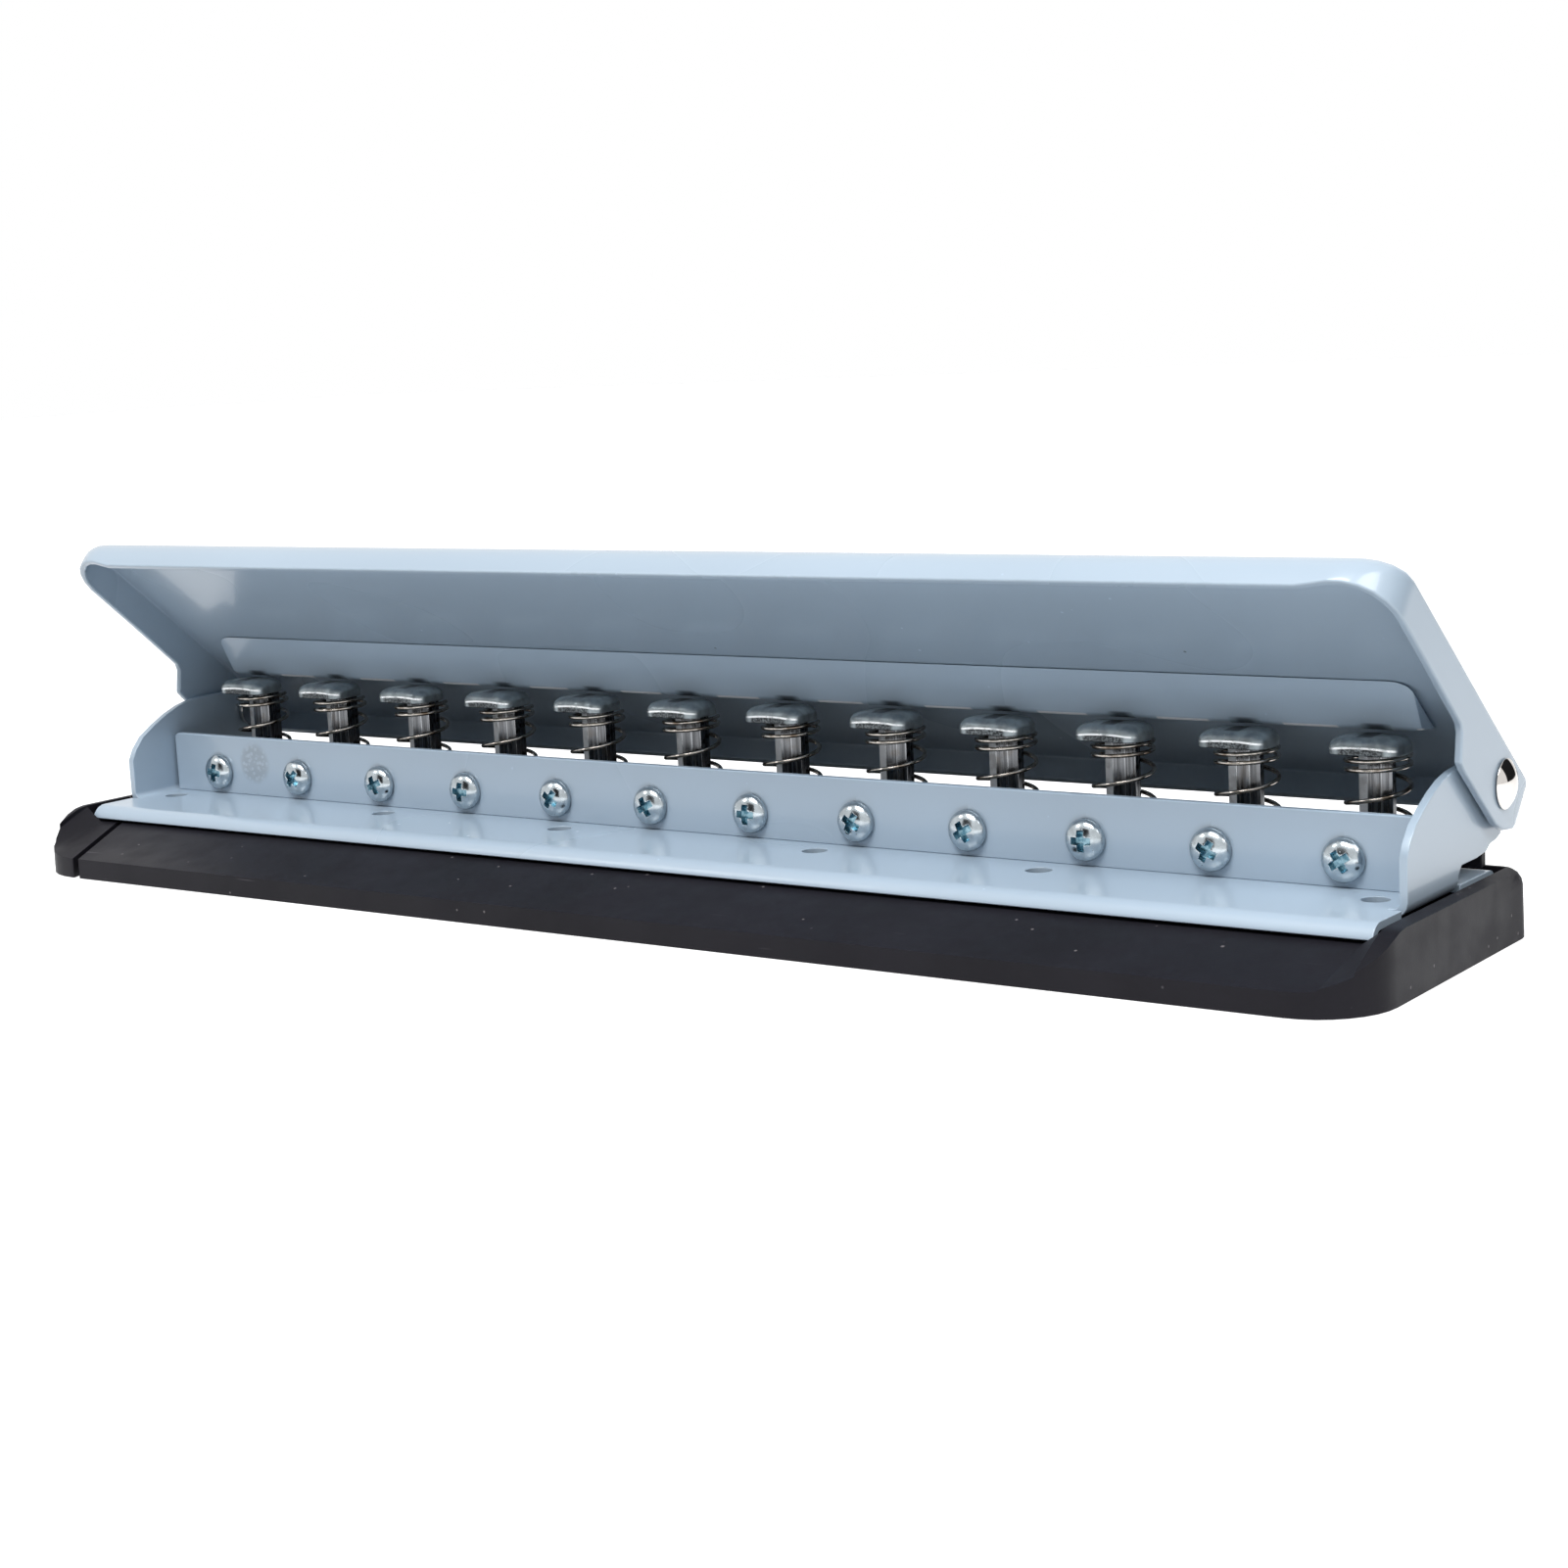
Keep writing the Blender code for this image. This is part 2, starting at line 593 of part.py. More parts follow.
def ear_outline():
    """Side view of an ear: foot, curved front, flat top, the lobe round the rivet and the undercut."""
    y = at(PIVOT_FROM_FRONT)
    z = PIVOT_HEIGHT
    rise = EAR_TOP - FLOOR_TOP
    front = at(EAR_FRONT)
    run = PIVOT_FROM_FRONT - EAR_FRONT
    front_curve_shares = [(0.0, 0.42), (0.035, 0.54), (0.1, 0.665), (0.2, 0.775), (0.31, 0.875), (0.415, 0.945),
                          (0.52, 0.985), (0.64, 1.0)]
    curve = [(front + run * a, FLOOR_TOP + rise * b) for a, b in front_curve_shares]
    lobe = RIVET_HEAD / 2
    lobe_shares = [(0.62, 0.7), (1.28, 0.0), (1.4, -0.85), (1.18, -1.62), (0.75, -2.1), (0.3, -2.24), (-0.28, -2.3),
                   (-0.65, -2.52), (-1.6, -2.62)]
    rear = [(y + lobe * a, z + lobe * b) for a, b in lobe_shares]
    foot = at(EAR_FOOT_REAR)
    undercut = rear[-1][1]
    return [
        (front, FLOOR_UNDER - CUT_OVERRUN),
        *curve,
        (y, EAR_TOP),
        *rear,
        (foot + SHEET, undercut),
        (foot, undercut - SHEET),
        (foot, FLOOR_UNDER - CUT_OVERRUN),
    ]


def ear_blank(shop, side, name):
    """A bent strip from the floor up into an ear, cut to the ear's outline."""
    middle = FLOOR_TOP - SHEET / 2
    bend = EAR_BEND_RADIUS - SHEET / 2
    outside = EAR_OUTSIDE - SHEET / 2
    profile = [
        (outside - bend - SHEET, middle),
        *arc((outside - bend, middle + bend), bend, -90, 0, 4),
        (outside, EAR_TOP + CUT_OVERRUN),
    ]
    # The strip is drawn along X by sheet_mesh, so it is turned to run along Y
    length = PIVOT_FROM_FRONT + RIVET_HEAD - EAR_FRONT + CUT_OVERRUN
    mesh = sheet_mesh(name, [(side * -x, z) for x, z in profile], length)
    centre = at(EAR_FRONT - CUT_OVERRUN) + length / 2
    strip = shop.cutter(name, mesh, location=(0, centre, 0), rotation=(0, 0, math.radians(90)))
    thicken(strip, SHEET)
    form = outline_mesh(name + "_form", [ear_outline()], EAR_BEND_RADIUS * 4)
    centre_x = side * (EAR_OUTSIDE - EAR_BEND_RADIUS)
    join(strip, shop.cutter(name + "_form", form, location=(centre_x, 0, 0), rotation=ACROSS), "INTERSECT")
    return strip


def pivot_hole_cutter(shop, name, reach):
    """A bar through both ears or both walls, on the pivot line."""
    mesh = outline_mesh(name, [circle((0, 0), RIVET_SHANK + CLEARANCE * 2, 16)], reach * 2)
    return shop.cutter(name, mesh, location=(0, at(PIVOT_FROM_FRONT), PIVOT_HEIGHT), rotation=ACROSS)


def make_chassis(shop):
    """The painted steel sheet: curled lip, floor with its holes, rear flange and two ears."""
    chassis = shop.part("chassis", sheet_mesh("chassis", floor_profile(), EAR_OUTSIDE * 2), "blue_grey_paint")
    thicken(chassis, SHEET)
    inner = EAR_OUTSIDE - EAR_BEND_RADIUS - SHEET / 2
    outer = EAR_OUTSIDE + CUT_OVERRUN
    under = FLOOR_UNDER - LIP_RADIUS
    over = FLOOR_TOP + CUT_OVERRUN
    for side, word in ((-1, "left"), (1, "right")):
        ends = sorted((side * inner, side * outer))
        low = (ends[0], at(EAR_FRONT - EAR_RELIEF), under)
        high = (ends[1], at(EAR_FOOT_REAR + EAR_RELIEF), over)
        notch = shop.cutter(f"{word}_notch_form", box_mesh("notch_form", low, high))
        join(chassis, notch, "DIFFERENCE")
        ends = sorted((side * LIP_HALF_LENGTH, side * outer))
        low = (ends[0], at(LIP_FRONT - CUT_OVERRUN), under)
        high = (ends[1], at(EAR_FRONT - EAR_RELIEF / 2), over)
        lip_end = shop.cutter(f"{word}_lip_end_form", box_mesh("lip_end_form", low, high))
        join(chassis, lip_end, "DIFFERENCE")
    for side, word in ((-1, "left"), (1, "right")):
        join(chassis, ear_blank(shop, side, f"{word}_ear_blank"), "UNION")
    low = FLOOR_UNDER - CUT_OVERRUN
    high = FLOOR_TOP + CUT_OVERRUN
    join(chassis, punch_hole_cutter(shop, "floor_punch_holes", low, high), "DIFFERENCE")
    places = [(side * x, at(FLOOR_HOLE_FROM_FRONT)) for x in FLOOR_HOLE_PLACES for side in (-1, 1)]
    holes = round_holes(shop, "floor_fixing_holes", places, FLOOR_HOLE_DIAMETER, high - low,
                        (0, 0, (low + high) / 2), FLAT)
    join(chassis, holes, "DIFFERENCE")
    join(chassis, pivot_hole_cutter(shop, "ear_holes", EAR_OUTSIDE + CUT_OVERRUN), "DIFFERENCE")


def rounded_bar_outline(half_length, low, high, radius):
    """A rectangle centred on X zero whose two top corners are rounded."""
    right = [(half_length, low), *arc((half_length - radius, high - radius), radius, 0, 90, 3)]
    return right + [(-x, z) for x, z in reversed(right)]


def make_front_plate(shop):
    outline = rounded_bar_outline(PLATE_HALF_LENGTH, PLATE_BOTTOM, PLATE_TOP, PLATE_CORNER_RADIUS)
    holes = [circle((x, SCREW_HEIGHT), SCREW_DIAMETER + CLEARANCE * 2, 12) for x in PUNCH_PLACES]
    mesh = outline_mesh("front_plate", [outline, *holes], SHEET)
    shop.part("front_plate", mesh, "blue_grey_paint",
              location=(0, at(PLATE_FRONT + SHEET / 2), 0), rotation=FACING_FRONT)


def make_guide_bar(shop):
    """The steel bar behind the front plate that guides the punches, with the paper stop under its rear."""
    foot = FLOOR_TOP + CLEARANCE
    profile = [
        (at(GUIDE_FRONT), PLATE_BOTTOM),
        (at(PAPER_STOP), PLATE_BOTTOM),
        (at(PAPER_STOP), foot),
        (at(GUIDE_REAR), foot),
        (at(GUIDE_REAR), GUIDE_TOP),
        (at(GUIDE_FRONT), GUIDE_TOP),
    ]
    bar = shop.part("guide_bar", solid_across("guide_bar", profile, GUIDE_HALF_LENGTH * 2), "dull_steel",
                    rotation=ACROSS)
    for side, word in ((-1, "left"), (1, "right")):
        name = f"{word}_guide_foot_form"
        ends = sorted((side * PAPER_HALF_WIDTH, side * GUIDE_HALF_LENGTH))
        low = (ends[0], at(GUIDE_FRONT), foot)
        high = (ends[1], at(GUIDE_REAR), GUIDE_TOP)
        join(bar, shop.cutter(name, box_mesh(name, low, high)), "UNION")
    cutter = punch_hole_cutter(shop, "guide_punch_holes", foot - CUT_OVERRUN, GUIDE_TOP + CUT_OVERRUN)
    join(bar, cutter, "DIFFERENCE")
    depth = SCREW_LENGTH + CLEARANCE
    holes = round_holes(shop, "guide_screw_holes", [(x, SCREW_HEIGHT) for x in PUNCH_PLACES],
                        SCREW_DIAMETER + CLEARANCE * 2, depth * 2, (0, at(PLATE_FRONT), 0), FACING_FRONT)
    join(bar, holes, "DIFFERENCE")


def make_die_plate(shop):
    """The hardened strip under the floor with the twelve cutting holes."""
    low = at(DIE_FRONT)
    high = at(DIE_REAR)
    outline = [(-GUIDE_HALF_LENGTH, low), (GUIDE_HALF_LENGTH, low), (GUIDE_HALF_LENGTH, high),
               (-GUIDE_HALF_LENGTH, high)]
    holes = [mushroom_outline(x, at(PUNCH_FROM_FRONT), PUNCH_RUNNING_GAP) for x in PUNCH_PLACES]
    mesh = outline_mesh("die_plate", [outline, *holes], DIE_THICKNESS)
    shop.part("die_plate", mesh, "punch_steel", location=(0, 0, SEAT_TOP - DIE_THICKNESS / 2))


def make_rear_strip(shop):
    """The black strip that stands along the rear edge of the chassis floor."""
    low = (-REAR_STRIP_HALF_LENGTH, at(REAR_STRIP_FRONT), FLOOR_TOP + CLEARANCE)
    high = (REAR_STRIP_HALF_LENGTH, at(REAR_STRIP_FRONT + REAR_STRIP_THICKNESS),
            FLOOR_TOP + CLEARANCE + REAR_STRIP_HEIGHT)
    shop.part("rear_strip", box_mesh("rear_strip", low, high), "black_plastic")


def make_rivet(shop, side, name):
    """A pivot rivet on the X axis: clenched head inside the ear, domed head outside the handle wall."""
    dome_base = HANDLE_HALF_WIDTH + CLEARANCE
    clench_face = EAR_OUTSIDE - SHEET - CLEARANCE
    dome_steps = 6
    dome = [
        (RIVET_HEAD / 2 * math.cos(math.radians(90 * i / dome_steps)),
         dome_base + RIVET_DOME * math.sin(math.radians(90 * i / dome_steps)))
        for i in range(dome_steps + 1)
    ]
    profile = [
        *reversed(dome),
        (RIVET_SHANK / 2, dome_base),
        (RIVET_SHANK / 2, clench_face),
        (RIVET_CLENCH / 2, clench_face),
        (RIVET_CLENCH / 2, clench_face - RIVET_CLENCH_HEIGHT),
        (0, clench_face - RIVET_CLENCH_HEIGHT),
    ]
    centre = (0, at(PIVOT_FROM_FRONT), PIVOT_HEIGHT)
    facing = (0, side * math.radians(90), 0)
    turn(shop.part(name, turned_mesh(name, profile), "chrome", centre, facing), 24)


def turned_mesh(name, profile):
    """The edge of a turned piece, as (radius, height) points from top to bottom; turn() spins it."""
    shape = bmesh.new()
    row = [shape.verts.new((radius, 0, height)) for radius, height in profile]
    for pair in zip(row, row[1:]):
        shape.edges.new(pair)
    return mesh_of(shape, name)


def turn(item, steps):
    modifier = item.modifiers.new("turned", "SCREW")
    modifier.steps = steps
    modifier.render_steps = steps
    modifier.use_merge_vertices = True
    modifier.merge_threshold = WELD_DISTANCE


def handle_plan():
    """Right half of the panel's outline, front to rear: X, Y, outward X, outward Y, bend and rim height."""
    radius = HANDLE_CORNER_RADIUS
    rear = HANDLE_REAR_CORNER_RADIUS
    wall = HANDLE_HALF_WIDTH
    rows = []
    lift_shares = [0.0, 0.85, 1.0, 1.0, 0.85, 0.6, 0.35, 0.15]
    corner = [(wall - radius * 1.5, -HANDLE_REACH, 0, -1)]
    steps = len(lift_shares) - 2
    for i in range(steps + 1):
        out = (math.sin(math.radians(90 * i / steps)), -math.cos(math.radians(90 * i / steps)))
        corner.append((wall - radius + radius * out[0], radius - HANDLE_REACH + radius * out[1], *out))
    for place, share in zip(corner, lift_shares):
        front_share = place[3] ** 2
        bend = HANDLE_SIDE_BEND + (HANDLE_FRONT_BEND - HANDLE_SIDE_BEND) * front_share
        rows.append((*place, bend, HANDLE_CORNER_LIFT * share - HANDLE_RIM))
    side = [
        ((HANDLE_CORNER_RADIUS - HANDLE_REACH - LOBE_FRONT) / 2, -HANDLE_RIM),
        (-LOBE_FRONT, -HANDLE_RIM * 1.2),
        (-LOBE_FRONT + LOBE_STEP / 3, -HANDLE_RIM * 1.7),
        (-LOBE_FRONT + LOBE_STEP, -LOBE_RIM + CLEARANCE),
        (-LOBE_FRONT + LOBE_STEP * 1.5, -LOBE_RIM),
        (LOBE_BACK, -LOBE_RIM),
        (HANDLE_REAR * 0.46, -LOBE_RIM * 0.86),
    ]
    rows += [(wall, y, 1, 0, HANDLE_SIDE_BEND, z) for y, z in side]
    drop_shares = [0.58, 0.42, 0.2, 0.0]
    for i, share in enumerate(drop_shares):
        angle = math.radians(90 * i / (len(drop_shares) - 1))
        out = (math.cos(angle), math.sin(angle))
        place = (wall - rear + rear * out[0], HANDLE_REAR - rear + rear * out[1])
        rows.append((*place, *out, HANDLE_SIDE_BEND, REAR_RIM_RISE * (1 - share) - LOBE_RIM * share))
    return rows


def handle_mesh():
    """The handle's outer skin: walls of the rim heights, the bend all round and the flat panel."""
    right = handle_plan()
    rows = right + [(-x, y, -out_x, out_y, bend, rim) for x, y, out_x, out_y, bend, rim in reversed(right)]
    shape = bmesh.new()
    rings = [[shape.verts.new((x, y, rim)) for x, y, _, _, _, rim in rows]]
    for k in range(HANDLE_BEND_STEPS + 1):
        angle = math.radians(90 * k / HANDLE_BEND_STEPS)
        inward = 1 - math.cos(angle)
        below = 1 - math.sin(angle)
        ring = [(x - out_x * bend * inward, y - out_y * bend * inward, PANEL_RISE - bend * below)
                for x, y, out_x, out_y, bend, _ in rows]
        rings.append([shape.verts.new(place) for place in ring])
    loft(shape, rings)
    bmesh.ops.delete(shape, geom=[f for f in shape.faces if set(f.verts) == set(rings[0])], context="FACES_ONLY")
    return mesh_of(shape, "handle")


def make_handle(shop, hinge):
    """The drawn sheet handle: panel, front flange, side walls with pivot lobes and a short rear wall."""
    handle = shop.part("handle", handle_mesh(), "blue_grey_paint", parent=hinge)
    thicken(handle, HANDLE_SHEET, -1)
    reach = HANDLE_HALF_WIDTH + CUT_OVERRUN
    join(handle, pivot_hole_cutter(shop, "handle_holes", reach), "DIFFERENCE")


def make_press_bar(shop, hinge):
    """The long bar under the panel whose rounded crest presses the heads."""
    under = PANEL_RISE - HANDLE_SHEET - CLEARANCE
    crest_centre = (-PRESS_BAR_CREST, under - PRESS_BAR_HEIGHT + PRESS_BAR_CREST_RADIUS)
    profile = [
        (-PRESS_BAR_FRONT, under),
        *arc(crest_centre, PRESS_BAR_CREST_RADIUS, -106, -52, 4),
        (-PRESS_BAR_BACK, under),
    ]
    mesh = solid_across("press_bar", profile, PRESS_BAR_HALF_LENGTH * 2)
    shop.part("press_bar", mesh, "blue_grey_paint", rotation=ACROSS, parent=hinge)


def rounded_rectangle(width, depth, radius):
    """A rounded rectangle round the origin, counter-clockwise from its right side."""
    x = width / 2 - radius
    y = depth / 2 - radius
    return [
        *arc((x, -y), radius, -90, 0, 3),
        *arc((x, y), radius, 0, 90, 3),
        *arc((-x, y), radius, 90, 180, 3),
        *arc((-x, -y), radius, 180, 270, 3),
    ]


def head_mesh():
    """A rounded rectangular cap with a straight edge and a domed top."""
    outline = rounded_rectangle(HEAD_WIDTH, HEAD_DEPTH, HEAD_CORNER_RADIUS)
    dome_shares = [(0.0, 1.0), (0.5, 0.86), (0.85, 0.6), (1.0, 0.3)]
    levels = [(0, 1)] + [(HEAD_EDGE_HEIGHT + HEAD_DOME_HEIGHT * rise, width) for rise, width in dome_shares]
    shape = bmesh.new()
    loft(shape, [[shape.verts.new((x * width, y * width, z)) for x, y in outline] for z, width in levels])
    return mesh_of(shape, "head")


def spring_points(top, bottom):
    """Points of a compression spring, from its top down, closed at both ends and open between them."""
    radius = (SPRING_DIAMETER - SPRING_WIRE) / 2
    leave = top - SPRING_TOP_PITCH * SPRING_TOP_TURNS
    reach = bottom + SPRING_BOTTOM_PITCH * SPRING_BOTTOM_TURNS
    open_end = SPRING_TOP_TURNS + SPRING_OPEN_TURNS
    total = open_end + SPRING_BOTTOM_TURNS
    count = round(total * SPRING_POINTS_PER_TURN)
    points = []
    for i in range(count + 1):
        turns = total * i / count
        if turns < SPRING_TOP_TURNS:
            z = top - SPRING_TOP_PITCH * turns
        elif turns < open_end:
            z = leave + (reach - leave) * (turns - SPRING_TOP_TURNS) / SPRING_OPEN_TURNS
        else:
            z = bottom + SPRING_BOTTOM_PITCH * (total - turns)
        angle = SPRING_START_ANGLE - turns * math.tau
        points.append(Vector((radius * math.cos(angle), radius * math.sin(angle), z)))
    return points


def least_gap(points):
    """The least clear distance between turns of the wire, on points half a turn or more apart."""
    apart = SPRING_POINTS_PER_TURN // 2
    closest = min((p - q).length for i, p in enumerate(points) for q in points[i + apart:])
    return closest - SPRING_WIRE


def spring_curve():
    half_wire = SPRING_WIRE / 2
    top = HEAD_BOTTOM - CLEARANCE - half_wire
    bottom = GUIDE_TOP + CLEARANCE + half_wire
    points = spring_points(top, bottom)
    print(f"least gap between the turns of a spring: {least_gap(points) * 1000:.2f} mm")
    curve = bpy.data.curves.new("spring", "CURVE")
    curve.dimensions = "3D"
    curve.bevel_depth = half_wire
    curve.bevel_resolution = 1
    curve.use_fill_caps = True
    spline = curve.splines.new("POLY")
    spline.points.add(len(points) - 1)
    for target, point in zip(spline.points, points):
        target.co = (*point, 1)
    return curve


def screw_profile():
    """A pan head screw from the top of its head down to the end of its shank."""
    head = SCREW_HEAD_DIAMETER / 2
    shank = SCREW_DIAMETER / 2
    rounding_shares = [(0.0, 1.0), (0.5, 0.96), (0.8, 0.82), (0.95, 0.58), (1.0, 0.3)]
    top = [(head * out, SCREW_HEAD_HEIGHT * up) for out, up in rounding_shares]
    return [*top, (head, 0), (shank, 0), (shank, -SCREW_LENGTH), (0, -SCREW_LENGTH)]


def recess_cutter(shop):
    """The crossed slots of a screw head, tapering outwards along each arm and inwards."""
    half_width = RECESS_WIDTH / 2
    half_tip = RECESS_TIP_WIDTH / 2
    arm = RECESS_LENGTH / 2
    quarter = [(half_width, half_width), (half_tip, arm), (-half_tip, arm)]
    outline = []
    for i in range(4):
        cosine = math.cos(math.radians(90 * i))
        sine = math.sin(math.radians(90 * i))
        outline += [(a * cosine - b * sine, a * sine + b * cosine) for a, b in quarter]
    depth = RECESS_DEPTH + CUT_OVERRUN
    mesh = outline_mesh("recess_form", [outline], depth)
    for vert in mesh.vertices:
        if vert.co.z < 0:
            vert.co.x *= RECESS_FLOOR_SHARE
            vert.co.y *= RECESS_FLOOR_SHARE
    return shop.cutter("recess_form", mesh, location=(0, 0, SCREW_HEAD_HEIGHT - RECESS_DEPTH + depth / 2))


def make_screw_mesh(shop):
    """One screw with its recess, finished as a mesh that the twelve screws share."""
    blank = shop.cutter("screw_blank", turned_mesh("screw_blank", screw_profile()))
    turn(blank, 16)
    join(blank, recess_cutter(shop), "DIFFERENCE")
    graph = bpy.context.evaluated_depsgraph_get()
    mesh = bpy.data.meshes.new_from_object(blank.evaluated_get(graph))
    mesh.name = "screw"
    return mesh


def make_punch_units(shop):
    """Twelve punches, heads, springs and front screws, in line from left to right."""
    top = HEAD_BOTTOM - CLEARANCE
    punch = outline_mesh("punch", [mushroom_outline(0, 0)], top - PUNCH_BOTTOM)
    head = head_mesh()
    spring = spring_curve()
    screw = make_screw_mesh(shop)
    y = at(PUNCH_FROM_FRONT)
    for i, x in enumerate(PUNCH_PLACES):
        number = f"{i + 1:02d}"
        slide = bpy.data.objects.new(f"punch_{number}_slide", None)
        slide.location = (x, y, 0)
        shop.parts.objects.link(slide)
        shop.part(f"punch_{number}", punch, "punch_steel", (0, 0, (top + PUNCH_BOTTOM) / 2), parent=slide)
        shop.part(f"head_{number}", head, "dull_steel", (0, -HEAD_FORWARD, HEAD_BOTTOM), parent=slide)
        shop.part(f"spring_{number}", spring, "spring_wire", (0, 0, 0), parent=slide)
        angle = RECESS_FIRST_ANGLE + RECESS_ANGLE_STEP * i
        seat = (x, at(PLATE_FRONT) - CLEARANCE, SCREW_HEIGHT)
        shop.part(f"screw_{number}", screw, "zinc_plate", seat, (math.radians(90), angle, 0))


def shade(item):
    if item.type == "MESH":
        item.data.shade_smooth()
        item.data.set_sharp_from_angle(angle=math.radians(35))


def main():
    clear_scene()
    shop = Workshop()
    make_base_forms(shop)
    make_base(shop)
    make_chip_tray(shop)
    make_chassis(shop)
    make_front_plate(shop)
    make_guide_bar(shop)
    make_die_plate(shop)
    make_rear_strip(shop)
    hinge = bpy.data.objects.new("handle_hinge", None)
    hinge.location = (0, at(PIVOT_FROM_FRONT), PIVOT_HEIGHT)
    hinge.rotation_euler = (-HANDLE_REST_ANGLE, 0, 0)
    shop.parts.objects.link(hinge)
    make_handle(shop, hinge)
    make_press_bar(shop, hinge)
    make_rivet(shop, -1, "left_pivot_rivet")
    make_rivet(shop, 1, "right_pivot_rivet")
    make_punch_units(shop)
    for item in shop.parts.objects:
        shade(item)


main()
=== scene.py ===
"""Looks of the twelve hole mushroom punch: finer pieces, finishes, light and camera."""

import json
import math

import bmesh
import bpy
from mathutils import Euler, Matrix, Vector


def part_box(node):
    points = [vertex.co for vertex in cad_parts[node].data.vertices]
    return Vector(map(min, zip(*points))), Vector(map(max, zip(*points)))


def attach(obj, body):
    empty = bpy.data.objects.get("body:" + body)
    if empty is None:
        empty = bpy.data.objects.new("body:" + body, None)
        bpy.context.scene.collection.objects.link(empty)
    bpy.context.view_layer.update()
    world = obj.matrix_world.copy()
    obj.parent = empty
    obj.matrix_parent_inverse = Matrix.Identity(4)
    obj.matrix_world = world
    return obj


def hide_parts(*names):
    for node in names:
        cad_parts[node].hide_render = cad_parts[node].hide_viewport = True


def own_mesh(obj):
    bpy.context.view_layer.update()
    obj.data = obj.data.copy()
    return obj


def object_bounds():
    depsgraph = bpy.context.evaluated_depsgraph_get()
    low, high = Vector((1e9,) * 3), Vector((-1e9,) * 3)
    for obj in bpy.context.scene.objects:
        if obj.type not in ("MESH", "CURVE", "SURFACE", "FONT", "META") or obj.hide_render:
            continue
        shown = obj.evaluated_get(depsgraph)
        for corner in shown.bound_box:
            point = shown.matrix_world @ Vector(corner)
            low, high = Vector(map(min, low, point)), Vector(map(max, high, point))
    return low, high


bl_info = {
    "name": "Mushroom hole punch looks",
    "version": (1, 0, 0),
    "blender": (4, 5, 0),
    "location": "3D View > Sidebar > Punch",
    "description": "Dresses the packed model of a twelve hole mushroom punch",
    "category": "Object",
}

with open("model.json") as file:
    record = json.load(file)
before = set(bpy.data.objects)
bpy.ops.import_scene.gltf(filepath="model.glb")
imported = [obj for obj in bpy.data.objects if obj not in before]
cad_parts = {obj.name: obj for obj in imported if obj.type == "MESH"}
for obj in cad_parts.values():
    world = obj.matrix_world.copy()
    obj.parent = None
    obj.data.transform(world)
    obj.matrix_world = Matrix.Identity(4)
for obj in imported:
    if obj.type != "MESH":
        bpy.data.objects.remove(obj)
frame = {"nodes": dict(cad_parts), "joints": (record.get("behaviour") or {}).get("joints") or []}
CAD_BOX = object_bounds()

NUMBERS = [f"{i:02d}" for i in range(1, 13)]
PITCH = 0.0254
MERGE = 0.000001
UP = Vector((0, 0, 1))

# Places on the punch that its marks are set by
SCREW_ROW = 0.0171
PLATE_TOP = 0.0253
WORN_PATCH = (-0.1284, 0, 0.0196)
WORN_PATCH_REACH = (0.0052, 0, 0.0052)
HEAD_BACK = 0.0112

# Screws: radius, and shares of the radius or of the head's height
SCREW_RADIUS = 0.004
SCREW_RIM_SHARE = 0.18
SCREW_EDGE_SHARE = 0.03
RECESS_ARM_SHARE = 0.7
RECESS_WIDTH_SHARE = 0.42
RECESS_TAPER = (0.55, 0.7)
RECESS_MARK_SHARE = 0.75
FIRST_SCREW_ANGLE = 8
SCREW_ANGLE_STEP = 29

# Rivets, as shares of the dome's radius
RIVET_SHANK_SHARE = 0.54
RIVET_CLENCH_SHARE = 0.81
RIVET_CLENCH_DEPTH_SHARE = 0.26
RIVET_EDGE_SHARE = 0.03

# Punches, heads and press bar
PUNCH_EDGE = 0.00012
HEAD_EDGE = 0.0002
HEAD_SIDE_SHARE = 0.45
HEAD_CORNER_SHARE = 0.27
HEAD_TOP_RINGS = ((0.2, 0.98), (0.4, 0.947), (0.58, 0.9), (0.74, 0.83), (0.87, 0.73), (0.95, 0.56),
                  (1.0, 0.3))
BAR_END_STEPS = 6
BAR_END_DRAW = 0.3
BAR_SHARP = 50

# Springs
SPRING_DIAMETER = 0.0122
SPRING_TOP_TURNS = 1.5
SPRING_OPEN_TURNS = 1.5
SPRING_BOTTOM_TURNS = 1
SPRING_STEPS_PER_TURN = 36
SPRING_START_ANGLE = math.radians(27)
SPRING_BEHIND_HEAD = 0.003

TURNED_STEPS = 48

# Camera that fits the photograph: its place from the front edge of the base, and its angles
CAMERA_LENS = 63.744
CAMERA_PLACE = (0.339457, -0.391734, 0.113182)
CAMERA_YAW, CAMERA_PITCH, CAMERA_ROLL = -0.632480, -0.165127, -0.049526

# Light
WORLD_LEVEL = 0.15
FLOOR_GLOW = 0.75

# Colours of wear and dirt, and of painted highlights and painted shade
OIL_AND_SHADE = (0.02, 0.022, 0.026)
CREST_HIGHLIGHT = (0.95, 0.97, 1.0)
PRIMER = (0.42, 0.42, 0.42)
PALE_DUST = (0.28, 0.26, 0.27)
PALE_SCRATCH = (0.16, 0.15, 0.17)
PALE_RECESS_REFLECTION = (0.30, 0.47, 0.54)
ZINC_PIT = (0.2, 0.24, 0.26)
CHROME_SPECK = (0.35, 0.33, 0.31)
DARK_BAND_CAST = (0.03, 0.032, 0.035)
ARCH_HIGHLIGHT = (0.85, 0.87, 0.88)
DARK_CAST = (0.03, 0.034, 0.036)
CAST_GRIT = (0.5, 0.52, 0.52)
FACET_HIGHLIGHT = (0.92, 0.94, 0.97)
EDGE_HIGHLIGHT = (0.75, 0.77, 0.8)
OIL_STAIN = (0.1, 0.08, 0.06)
BROWNED_WIRE = (0.2, 0.15, 0.11)
DULL_WIRE = (0.12, 0.1, 0.08)
RUST = (0.16, 0.1, 0.06)


# Settings

